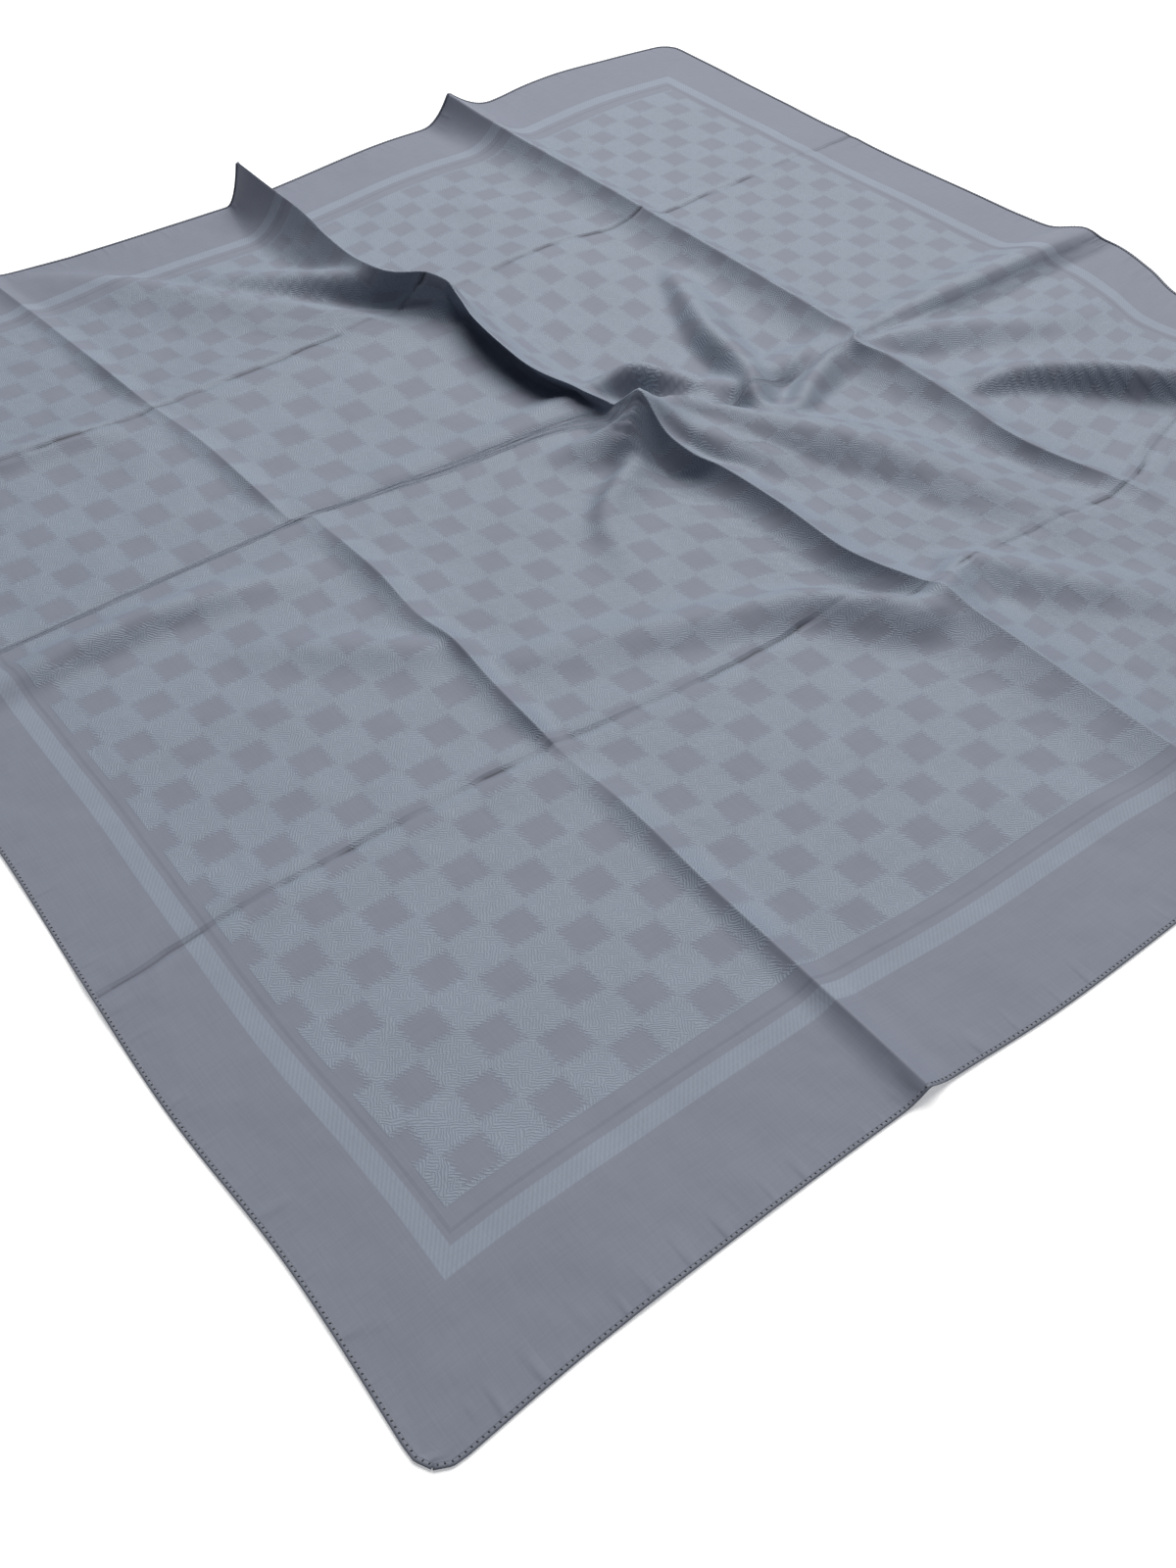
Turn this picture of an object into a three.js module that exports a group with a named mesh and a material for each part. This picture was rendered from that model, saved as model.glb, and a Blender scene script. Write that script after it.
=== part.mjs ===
// Headscarf: one square of jacquard cloth with a rolled hem on each side, laid loosely flat.
// Millimetres, +Z up. X runs along the near right side and Y along the near left side.
import * as THREE from "three";

// The cut square, and the walls that stand for cloth and hem
const cutWidth = 900;
const cutLength = 895;
const clothWall = 1;
const hemWidth = 3;
const hemRise = 0.8;
const seamGap = 0.3;

// The plan point that becomes the origin, near the middle of the laid sheet
const originX = 410;
const originY = 412;

// Three pressed creases run across the sheet, a quarter of the width apart. Each leans: its left flank is
// steep and its right flank is easy. Columns: place along the cloth, cloth in the steep flank, cloth in the
// easy flank, plan x of the steep foot, plan x of the crest, plan x of the easy foot, height of the crest, how
// far the steep flank runs in under the crest.
const creases = [
  {
    at: cutWidth / 4,
    rows: [
      [0, 14, 14, 215, 229, 243, 6, 0],
      [60, 13, 14, 217, 230, 244, 5, 0],
      [130, 12, 13, 218, 230, 243, 5, 0],
      [190, 13, 14, 218, 232, 246, 4, 0],
      [225, 15, 14, 216, 231, 245, 1, 0],
      [250, 16, 12, 216, 230, 242, 6, 1],
      [285, 17, 13, 215, 232, 245, 5, 1],
      [320, 18, 13, 215, 234, 247, 7, 2],
      [350, 15, 14, 217, 232, 246, 4, 0],
      [385, 17, 14, 216, 234, 248, 6, 1],
      [420, 16, 15, 218, 234, 249, 4, 0],
      [440, 15, 15, 219, 234, 249, 2, 0],
      [452, 15, 15, 220, 235, 250, 1, 0],
      [553, 13, 13, 210, 223, 236, 1, 0],
      [580, 13, 13, 209, 222, 235, 4, 0],
      [640, 14, 13, 207, 221, 234, 3, 0],
      [684, 13, 12, 203, 216, 228, 2, 0],
      [720, 14, 13, 199, 212, 225, 5, 0],
      [800, 14, 13, 194, 208, 221, 3, 0],
      [895, 14, 14, 186, 200, 214, 4, 0],
    ],
  },
  {
    at: cutWidth / 2,
    rows: [
      [0, 40, 36, 409, 449, 480, 7, 0],
      [120, 40, 36, 408, 448, 478, 8, 0],
      [193, 38, 36, 411, 447, 476, 10, 0],
      [236, 32, 36, 415, 444, 472, 11, 0],
      [270, 28, 34, 412, 434, 464, 11, 1],
      [293, 27, 34, 410, 430, 460, 11, 1],
      [345, 26, 32, 411, 430, 458, 12, 1],
      [388, 26, 32, 408, 427, 456, 13, 1],
      [402, 26, 30, 404, 421, 448, 15, 0],
      [425, 34, 32, 400, 418, 446, 19, 0],
      [450, 48, 38, 400, 416, 446, 24, 0],
      [548, 52, 64, 408, 418, 440, 13, 2],
      [570, 52, 66, 410, 411, 438, 14, 5],
      [590, 52, 68, 406, 402, 437, 17, 8],
      [610, 52, 68, 406, 401, 437, 19, 9],
      [640, 52, 68, 409, 404, 439, 21, 9],
      [657, 53, 68, 411, 410, 440, 21, 6],
      [670, 55, 67, 406, 414, 440, 20, 0],
      [684, 57, 65, 392, 408, 438, 20, 0],
      [700, 57, 60, 378, 394, 432, 21, 0],
      [715, 56, 56, 366, 388, 424, 20, 0],
      [745, 54, 46, 360, 388, 412, 20, 0],
      [777, 54, 40, 360, 389, 407, 21, 0],
      [815, 54, 38, 360, 391, 406, 24, 0],
      [850, 50, 37, 362, 390, 405, 26, 0],
      [895, 40, 36, 374, 388, 402, 30, 0],
    ],
  },
  {
    at: (3 * cutWidth) / 4,
    rows: [
      [0, 18, 24, 608, 624, 646, 3, 0],
      [200, 18, 24, 586, 603, 624, 2, 0],
      [236, 22, 24, 578, 599, 618, 4, 0],
      [280, 22, 26, 568, 584, 610, 8, 0],
      [316, 25, 28, 561, 579, 608, 9, 0],
      [352, 30, 28, 558, 582, 610, 10, 0],
      [417, 40, 30, 550, 580, 610, 13, 0],
      [440, 40, 30, 546, 574, 606, 14, 0],
      [480, 38, 40, 550, 584, 614, 12, 1],
      [560, 36, 36, 553, 586, 613, 12, 2],
      [740, 36, 36, 553, 586, 613, 12, 2],
      [850, 38, 42, 550, 581, 616, 16, 1],
      [895, 34, 50, 551, 577, 622, 21, 0],
    ],
  },
];

// The two hems that run beside these creases. Columns: place along the cloth, plan x.
const nearLeftSide = [
  [0, 0],
  [90, 3],
  [170, -1],
  [236, 0],
  [341, 3],
  [600, -2],
  [895, -12],
];
const farRightSide = [
  [0, 832],
  [236, 806],
  [330, 790],
  [380, 803],
  [430, 812],
  [458, 805],
  [500, 796],
  [560, 794],
  [674, 791],
  [760, 794],
  [895, 798],
];

// Where five lines of the cloth lie in plan y. Columns: place across the cloth, near right hem, first cross
// crease, front of the middle fold, back of the middle fold, last cross crease, far left hem.
const crossRows = [
  [0, 0, 239, 462, 464, 611, 826],
  [74, 3, 243, 461, 463, 609, 824],
  [225, 0, 236, 458, 461, 607, 815],
  [300, -6, 227, 446, 452, 607, 806],
  [400, -8, 219, 432, 440, 606, 803],
  [450, -9, 199, 399, 424, 600, 801],
  [485, -9, 202, 401, 413, 605, 805],
  [520, -9, 205, 388, 396, 610, 809],
  [600, -9, 200, 388, 392, 614, 818],
  [675, -8, 196, 385, 391, 600, 817],
  [740, -8, 214, 378, 390, 601, 828],
  [790, -7, 222, 376, 388, 602, 834],
  [840, -7, 229, 375, 386, 603, 829],
  [900, -6, 236, 374, 384, 603, 820],
];

// Cloth that the middle fold hides. Columns: place across the cloth, last place seen in front, first behind.
const hiddenRows = [
  [0, 452, 553],
  [450, 450, 548],
  [675, 440, 474],
  [900, 430, 458],
];
const firstCross = 236;
const lastCross = 684;

// The middle fold itself. Columns: place across the cloth, height, cloth from its front edge to its crest, cloth
// in its back flank, lean to the front.
const middleFold = [
  [0, 1.2, 5, 24, 0],
  [225, 1.4, 5, 24, 0],
  [262, 2, 4, 22, 0],
  [300, 3, 4, 22, 1],
  [350, 4, 4, 20, 2],
  [400, 5, 4, 20, 3],
  [450, 7, 4, 22, 3],
  [500, 7, 6, 22, 0],
  [600, 9, 7, 22, 0],
  [675, 9, 7, 24, 0],
  [740, 11, 6, 32, 2],
  [860, 11, 6, 34, 2],
  [900, 8, 6, 30, 0],
];

// Soft folds between the pressed creases, in plan. crisp goes from 0, a round roll, to 1, an edge. Columns: x,
// y, height, reach to the left of the line, reach to its right, looking from its first row to its last.
const softFolds = {
  greatFold: {
    crisp: 0.25,
    rows: [
      [417, 399, 32, 8, 34],
      [428, 401, 27, 8, 36],
      [440, 402, 22, 8, 36],
      [451, 398, 19, 9, 34],
      [462, 386, 16, 14, 32],
      [477, 365, 14, 22, 30],
      [491, 345, 13, 30, 28],
      [506, 320, 13, 34, 28],
      [518, 293, 12, 38, 28],
      [526, 268, 10, 40, 28],
      [533, 246, 8, 40, 28],
      [552, 200, 3, 36, 30],
      [566, 170, 0, 36, 30],
    ],
  },
  apron: {
    crisp: 0,
    rows: [
      [424, 394, 20, 16, 16],
      [438, 378, 16, 22, 18],
      [450, 360, 11, 26, 20],
      [462, 340, 6, 26, 20],
      [475, 318, 0, 26, 20],
    ],
  },
  backRoll: {
    crisp: 0,
    rows: [
      [366, 455, 3, 16, 6],
      [392, 454, 5, 18, 6],
      [418, 452, 8, 18, 8],
      [440, 450, 14, 18, 10],
      [451, 442, 20, 18, 12],
      [460, 431, 18, 16, 12],
      [470, 419, 14, 14, 10],
      [482, 408, 10, 12, 9],
      [492, 394, 8, 10, 8],
    ],
  },
  hookRidge: {
    crisp: 0.4,
    rows: [
      [562, 545, 0, 14, 8],
      [548, 520, 7, 24, 10],
      [536, 495, 11, 28, 11],
      [517, 455, 15, 30, 12],
      [509, 423, 17, 28, 11],
      [500, 398, 17, 24, 10],
      [490, 383, 14, 16, 8],
      [492, 372, 10, 10, 8],
      [500, 364, 7, 10, 8],
    ],
  },
  shoulder: {
    crisp: 0.3,
    rows: [
      [491, 368, 9, 10, 10],
      [505, 364, 7, 12, 10],
      [518, 368, 8, 14, 11],
      [531, 376, 10, 14, 14],
      [557, 386, 12, 16, 20],
      [575, 388, 12, 16, 22],
      [590, 384, 11, 14, 22],
      [615, 378, 11, 14, 24],
      [654, 360, 9, 20, 24],
      [693, 340, 5, 24, 22],
      [740, 322, 0, 26, 22],
    ],
  },
  pinchSpread: {
    crisp: 0.7,
    rows: [
      [412, 390, 18, 12, 6],
      [404, 386, 15, 18, 6],
      [390, 379, 13, 26, 5],
      [373, 370, 11, 30, 5],
      [357, 358, 8, 32, 7],
      [346, 334, 4, 32, 13],
      [338, 312, 0, 30, 18],
    ],
  },
  leftFacet: {
    crisp: 0.2,
    rows: [
      [415, 402, 24, 24, 9],
      [404, 408, 15, 28, 9],
      [393, 413, 9, 30, 9],
      [378, 420, 0, 26, 9],
    ],
  },
  valleyFront: {
    crisp: 0.7,
    rows: [
      [222, 800, 2, 10, 40],
      [240, 786, 5, 10, 44],
      [275, 745, 8, 8, 48],
      [305, 700, 8, 8, 50],
      [337, 660, 7, 8, 50],
      [357, 631, 6, 8, 44],
      [376, 605, 4, 8, 36],
      [392, 586, 0, 8, 30],
    ],
  },
  valleyBack: {
    crisp: 0,
    rows: [
      [298, 732, 0, 18, 8],
      [320, 710, 4, 22, 8],
      [341, 689, 8, 26, 10],
      [372, 652, 15, 28, 12],
      [398, 616, 19, 22, 13],
      [409, 598, 21, 18, 12],
      [414, 582, 18, 14, 8],
    ],
  },
  middleSwell: {
    crisp: 0.45,
    rows: [
      [230, 305, 0, 18, 20],
      [262, 293, 3, 18, 24],
      [308, 274, 5, 20, 28],
      [354, 253, 8, 20, 26],
      [392, 234, 12, 18, 26],
      [412, 210, 14, 18, 26],
      [436, 190, 14, 20, 28],
      [476, 204, 10, 20, 26],
      [497, 178, 9, 24, 24],
      [525, 140, 6, 26, 24],
      [560, 96, 0, 26, 24],
    ],
  },
  leftSwell: {
    crisp: 0.2,
    rows: [
      [40, 436, 5, 16, 18],
      [85, 438, 8, 16, 18],
      [140, 434, 8, 16, 18],
      [180, 427, 4, 18, 20],
      [215, 420, 0, 20, 24],
    ],
  },
  leftBackSwell: {
    crisp: 0.2,
    rows: [
      [20, 616, 4, 18, 20],
      [120, 614, 7, 18, 20],
      [165, 610, 5, 18, 20],
      [205, 590, 0, 16, 18],
    ],
  },
  smallSwell: {
    crisp: 0.6,
    rows: [
      [140, 391, 0, 10, 14],
      [168, 377, 3, 12, 20],
      [190, 358, 5, 12, 24],
      [214, 338, 5, 12, 26],
      [238, 318, 3, 12, 22],
    ],
  },
  rightRoll: {
    crisp: 0.15,
    rows: [
      [592, 314, 0, 22, 10],
      [606, 313, 6, 24, 10],
      [630, 305, 12, 28, 9],
      [651, 286, 16, 30, 9],
      [671, 263, 19, 30, 8],
      [690, 237, 19, 30, 8],
      [715, 205, 16, 30, 11],
      [745, 172, 9, 28, 16],
      [784, 140, 0, 28, 22],
    ],
  },
};

// The cross creases are fine ridges, pressed sharp. Height, reach in cloth on each side for the mesh, and the
// distance from the crease at which the cloth stands highest.
const crossHeight = 1.1;
const crossReach = 9;
const springReach = 6;

// How hollow the flanks of a crease are, and how much longer the middle fold's front is than its rise
const steepPower = 2;
const easyPower = 1.7;
const rollStep = 1.8;

// Rows of the mesh: how many cells lie in each stretch across and along the cloth
const cellsAcross = [7, 2, 2, 10, 3, 4, 9, 2, 3, 9];
const cellsFront = [6, 1, 1, 14];
const cellsTuck = 2;
const cellsBack = [3, 8, 1, 1, 12];

// Places between two rows of a table, drawn as a smooth curve through its rows
function readTable(rows, key) {
  const last = rows.length - 1;
  if (key <= rows[0][0]) return rows[0].slice(1);
  if (key >= rows[last][0]) return rows[last].slice(1);
  let i = 0;
  while (key > rows[i + 1][0]) i += 1;
  const span = rows[i + 1][0] - rows[i][0];
  const f = (key - rows[i][0]) / span;
  const slope = (k, column) => {
    const a = rows[Math.max(k - 1, 0)];
    const b = rows[Math.min(k + 1, last)];
    return (b[column] - a[column]) / (b[0] - a[0]);
  };
  return rows[i].slice(1).map((_, n) => {
    const column = n + 1;
    const p = rows[i][column];
    const q = rows[i + 1][column];
    const m = slope(i, column) * span;
    const k = slope(i + 1, column) * span;
    const ease = f * f * (3 - 2 * f);
    return p + (q - p) * ease + m * f * (1 - f) ** 2 - k * f * f * (1 - f);
  });
}

// Profiles: cloth that springs up beside a pressed crease, a hollow peak, and a round roll
const spring = (d, reach) => (d / reach) * Math.exp(1 - d / reach);
const peak = (d, reach) => Math.max(0, 1 - d / reach) ** easyPower;
const bell = (d, reach) => Math.max(0, 1 - (d / reach) ** 2) ** 2;

// Height of a soft fold over a plan point: the nearest part of its line rules
function softHeight({ crisp, rows }, x, y) {
  let best = 0;
  for (let i = 0; i + 1 < rows.length; i += 1) {
    const [ax, ay, ah, al, ar] = rows[i];
    const [bx, by, bh, bl, br] = rows[i + 1];
    const dx = bx - ax;
    const dy = by - ay;
    const size = dx * dx + dy * dy;
    const f = THREE.MathUtils.clamp(((x - ax) * dx + (y - ay) * dy) / size, 0, 1);
    const ox = x - ax - f * dx;
    const oy = y - ay - f * dy;
    const left = dx * oy - dy * ox > 0;
    const reach = left ? al + f * (bl - al) : ar + f * (br - ar);
    const away = Math.hypot(ox, oy);
    const profile = (1 - crisp) * bell(away, reach) + crisp * peak(away, reach);
    best = Math.max(best, (ah + f * (bh - ah)) * profile);
  }
  return best;
}

// Crossing folds add up softly, so that no crossing stands much higher than its folds
const together = (...heights) => Math.cbrt(heights.reduce((sum, h) => sum + h ** 3, 0));

// Plan x and height that the pressed creases give to a place on the cloth
function pressed(across, along) {
  const knots = [[0, readTable(nearLeftSide, along)[0], 0, 0]];
  creases.forEach(({ at, rows }) => {
    const [steep, easy, footX, crestX, easyX, height, under] = readTable(rows, along);
    knots.push([at - steep, footX, 0, under], [at, crestX, height, 0], [at + easy, easyX, 0, 0]);
  });
  knots.push([cutWidth, readTable(farRightSide, along)[0], 0, 0]);
  let i = 0;
  while (i < knots.length - 2 && across > knots[i + 1][0]) i += 1;
  const [s0, x0, h0, under] = knots[i];
  const [s1, x1, h1] = knots[i + 1];
  const f = (across - s0) / (s1 - s0);
  const height = h1 * f ** steepPower + h0 * (1 - f) ** easyPower;
  return [x0 + f * (x1 - x0) + under * Math.sin(Math.PI * f), height];
}

// A point of the cloth's underside. side is 0 in front of the middle fold and 1 behind it.
function clothPoint(across, along, side) {
  const [nearHem, first, front, back, last, farHem] = readTable(crossRows, across);
  const [lastSeen, firstSeen] = readTable(hiddenRows, across);
  const [foldHeight, foldFront, foldReach, foldLean] = readTable(middleFold, across);
  const stretch = (a, b, p, q) => p + ((along - a) / (b - a)) * (q - p);
  let y;
  let crossing = 0;
  if (side === 0) {
    y = along < firstCross ? stretch(0, firstCross, nearHem, first) : stretch(firstCross, lastSeen, first, front);
    crossing = crossHeight * spring(Math.abs(along - firstCross), springReach);
  } else {
    y = along < lastCross ? stretch(firstSeen, lastCross, back, last) : stretch(lastCross, cutLength, last, farHem);
    const pastCrest = along - firstSeen - foldFront;
    const roll = bell(pastCrest, pastCrest < 0 ? foldFront * rollStep : foldReach);
    crossing = together(crossHeight * spring(Math.abs(along - lastCross), springReach), foldHeight * roll);
    y -= foldLean * roll;
  }
  const [x, ridge] = pressed(across, along);
  const soft = Object.values(softFolds).map((fold) => softHeight(fold, x, y));
  const height = together(ridge, crossing, ...soft);
  return new THREE.Vector3(x - originX, y - originY, height);
}

// The grid of places: across the cloth the lines follow the creases, along it they stop at the middle fold
function gridPoints() {
  const rows = [];
  const frontEnds = [0, firstCross - crossReach, firstCross, firstCross + crossReach, null];
  const backEnds = [null, null, lastCross - crossReach, lastCross, lastCross + crossReach, cutLength];
  const line = (place) => {
    const points = [];
    for (let j = 0; j < cellsAcross.length; j += 1)
      for (let k = j === 0 ? 0 : 1; k <= cellsAcross[j]; k += 1) points.push(place(j, k / cellsAcross[j]));
    return points;
  };
  const acrossAt = (along, zone, f) => {
    const stops = [0];
    creases.forEach(({ at, rows: table }) => {
      const [steep, easy] = readTable(table, along);
      stops.push(at - steep, at, at + easy);
    });
    stops.push(cutWidth);
    return stops[zone] + f * (stops[zone + 1] - stops[zone]);
  };
  const addRow = (side, alongOf) =>
    rows.push(
      line((zone, f) => {
        let across = acrossAt(alongOf(cutWidth / 2), zone, f);
        across = acrossAt(alongOf(across), zone, f);
        return clothPoint(across, alongOf(across), side);
      }),
    );
  cellsFront.forEach((count, zone) => {
    for (let k = zone === 0 ? 0 : 1; k <= count; k += 1)
      addRow(0, (across) => {
        const end = frontEnds[zone + 1] ?? readTable(hiddenRows, across)[0];
        return frontEnds[zone] + (k / count) * (end - frontEnds[zone]);
      });
  });
  const frontLine = rows[rows.length - 1];
  cellsBack.forEach((count, zone) => {
    for (let k = zone === 0 ? 0 : 1; k <= count; k += 1)
      addRow(1, (across) => {
        const seen = readTable(hiddenRows, across)[1];
        const [, foldFront, foldReach] = readTable(middleFold, across);
        const flank = seen + foldFront + foldReach;
        const start = zone === 0 ? seen : (backEnds[zone] ?? flank);
        const end = zone === 0 ? flank : backEnds[zone + 1];
        return start + (k / count) * (end - start);
      });
    if (zone === 0) {
      const backLine = rows[rows.length - count - 1];
      const tuck = [];
      for (let k = 1; k < cellsTuck; k += 1)
        tuck.push(frontLine.map((p, n) => p.clone().lerp(backLine[n], k / cellsTuck)));
      rows.splice(rows.length - count - 1, 0, ...tuck);
    }
  });
  return rows;
}

// Outward normals of a grid of points. Along the four sides they stand square to the way out, so that the
// rim doesn't lean into the hem.
const nearRightWay = new THREE.Vector3(0, -1, 0);
const farLeftWay = new THREE.Vector3(0, 1, 0);
const nearLeftWay = new THREE.Vector3(-1, 0, 0);
const farRightWay = new THREE.Vector3(1, 0, 0);

function squareTo(vector, way) {
  return vector.clone().addScaledVector(way, -vector.dot(way)).normalize();
}

function gridNormals(rows) {
  const high = rows.length - 1;
  const wide = rows[0].length - 1;
  return rows.map((row, i) =>
    row.map((_, j) => {
      const along = rows[Math.min(i + 1, high)][j].clone().sub(rows[Math.max(i - 1, 0)][j]);
      const across = row[Math.min(j + 1, wide)].clone().sub(row[Math.max(j - 1, 0)]);
      let normal = across.clone().cross(along).normalize();
      if (i === 0 || i === high) normal = squareTo(normal, squareTo(farLeftWay, across.normalize()));
      if (j === 0 || j === wide) normal = squareTo(normal, squareTo(farRightWay, along.normalize()));
      return normal;
    }),
  );
}

function fabric(colour) {
  return new THREE.MeshStandardMaterial({ color: colour, roughness: 0.62, metalness: 0 });
}

function meshOf(name, positions, index, material) {
  const geometry = new THREE.BufferGeometry();
  geometry.setAttribute("position", new THREE.Float32BufferAttribute(positions, 3));
  geometry.setIndex(index);
  geometry.computeVertexNormals();
  const mesh = new THREE.Mesh(geometry, material);
  mesh.name = name;
  return mesh;
}

// The cloth: its underside, the same sheet moved out by the wall, and a rim
function makeCloth(rows, normals) {
  const high = rows.length;
  const wide = rows[0].length;
  const top = rows.map((row, i) => row.map((p, j) => p.clone().addScaledVector(normals[i][j], clothWall)));
  const positions = [];
  [rows, top].forEach((sheet) => sheet.flat().forEach((p) => positions.push(p.x, p.y, p.z)));
  const at = (layer, i, j) => layer * high * wide + i * wide + j;
  const index = [];
  const quad = (a, b, c, d) => index.push(a, b, c, a, c, d);
  for (let i = 0; i + 1 < high; i += 1)
    for (let j = 0; j + 1 < wide; j += 1) {
      quad(at(1, i, j), at(1, i, j + 1), at(1, i + 1, j + 1), at(1, i + 1, j));
      quad(at(0, i, j), at(0, i + 1, j), at(0, i + 1, j + 1), at(0, i, j + 1));
    }
  for (let j = 0; j + 1 < wide; j += 1) {
    quad(at(0, 0, j), at(0, 0, j + 1), at(1, 0, j + 1), at(1, 0, j));
    quad(at(0, high - 1, j + 1), at(0, high - 1, j), at(1, high - 1, j), at(1, high - 1, j + 1));
  }
  for (let i = 0; i + 1 < high; i += 1) {
    quad(at(0, i + 1, 0), at(0, i, 0), at(1, i, 0), at(1, i + 1, 0));
    quad(at(0, i, wide - 1), at(0, i + 1, wide - 1), at(1, i + 1, wide - 1), at(1, i, wide - 1));
  }
  return meshOf("scarf_cloth", positions, index, fabric(0x959eab));
}

// A hem: a small rounded section carried along one side of the cloth, made from the side's own points.
// Columns of the section: how far out from the cloth, how high above its underside.
const hemSection = [
  [seamGap, 0],
  [seamGap + hemWidth, 0],
  [seamGap + hemWidth, clothWall],
  [seamGap + hemWidth * 0.6, clothWall + hemRise],
  [seamGap, clothWall + hemRise],
];

function makeHem(name, points, way, reachOut) {
  const last = points.length - 1;
  const count = hemSection.length;
  const positions = [];
  const turned = Math.sign(way.x - way.y);
  points.forEach((p, i) => {
    const run = points[Math.min(i + 1, last)].clone().sub(points[Math.max(i - 1, 0)]).normalize();
    const out = squareTo(way, run);
    const up = out.clone().cross(run).multiplyScalar(turned);
    const start = p.clone();
    if (i === 0) start.addScaledVector(run, -reachOut);
    if (i === last) start.addScaledVector(run, reachOut);
    hemSection.forEach(([away, high]) => {
      const q = start.clone().addScaledVector(out, away).addScaledVector(up, high);
      positions.push(q.x, q.y, Math.max(q.z, 0));
    });
  });
  const index = [];
  const face = (a, b, c) => (turned > 0 ? index.push(a, b, c) : index.push(a, c, b));
  for (let i = 0; i < last; i += 1)
    for (let k = 0; k < count; k += 1) {
      const a = i * count + k;
      const b = i * count + ((k + 1) % count);
      face(a, a + count, b + count);
      face(a, b + count, b);
    }
  for (let k = 1; k + 1 < count; k += 1) {
    face(0, k, k + 1);
    face(last * count, last * count + k + 1, last * count + k);
  }
  return meshOf(name, positions, index, fabric(0x8a90a2));
}

const rows = gridPoints();
const normals = gridNormals(rows);
const firstColumn = rows.map((row) => row[0]);
const lastColumn = rows.map((row) => row[row.length - 1]);
// Two hems run past the corners, and the other two stop just short of them
const pastCorner = hemWidth + seamGap;
const shortOfCorner = -0.5;

const scarf = new THREE.Group();
scarf.add(
  makeCloth(rows, normals),
  makeHem("hem_near_right", rows[0], nearRightWay, pastCorner),
  makeHem("hem_far_left", rows[rows.length - 1], farLeftWay, pastCorner),
  makeHem("hem_near_left", firstColumn, nearLeftWay, shortOfCorner),
  makeHem("hem_far_right", lastColumn, farRightWay, shortOfCorner),
);

export default scarf;
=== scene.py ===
# %% [markdown]
# # A square jacquard headscarf, laid loosely flat
#
# A headscarf is one square of thin cloth with a narrow rolled hem. This one was folded, pressed and unfolded
# again, so that three creases run across it one way and three the other way, and where the middle ones cross
# the cloth is pinched up into a small knot of folds. The lesson goes from the frame to the cloth, the hems,
# the stitches, the finishes, and last the light and the camera.
#
# The frame is the imported solid part.

from math import cos, radians, sin

import bpy
import numpy as np
from mathutils import Matrix, Vector, noise


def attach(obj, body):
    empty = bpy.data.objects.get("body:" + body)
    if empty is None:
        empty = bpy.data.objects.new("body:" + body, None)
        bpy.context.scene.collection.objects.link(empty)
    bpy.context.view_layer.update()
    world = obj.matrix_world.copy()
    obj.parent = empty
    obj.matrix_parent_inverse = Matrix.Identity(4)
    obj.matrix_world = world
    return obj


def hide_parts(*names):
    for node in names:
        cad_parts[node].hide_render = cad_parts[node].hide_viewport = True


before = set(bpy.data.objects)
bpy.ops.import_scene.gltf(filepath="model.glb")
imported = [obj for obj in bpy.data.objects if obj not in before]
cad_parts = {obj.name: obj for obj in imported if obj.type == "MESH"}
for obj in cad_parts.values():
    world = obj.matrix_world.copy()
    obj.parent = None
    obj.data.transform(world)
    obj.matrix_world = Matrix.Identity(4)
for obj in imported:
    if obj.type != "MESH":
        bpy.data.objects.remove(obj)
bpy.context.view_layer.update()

# %% [markdown]
# ## The cut and the creases
#
# All sizes of the cloth are millimetres on the real scarf, as a maker would note them, and the meshes are
# made in metres at the very end. A place on the cloth has two numbers: how far across it lies, from the near
# left hem, and how far along, from the near right hem.
#
# A pressed crease could be painted as a bump, but it lifts the cloth by a centimetre or more and its flanks
# turn to and from the light, so it is true shape. Each crease is a short table, read as a smooth curve.

# %% The cut square and its pressed creases
MM = 0.001
cut_width = 900
cut_length = 895
origin_x = 410
origin_y = 412
cloth_wall = 0.5

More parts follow.
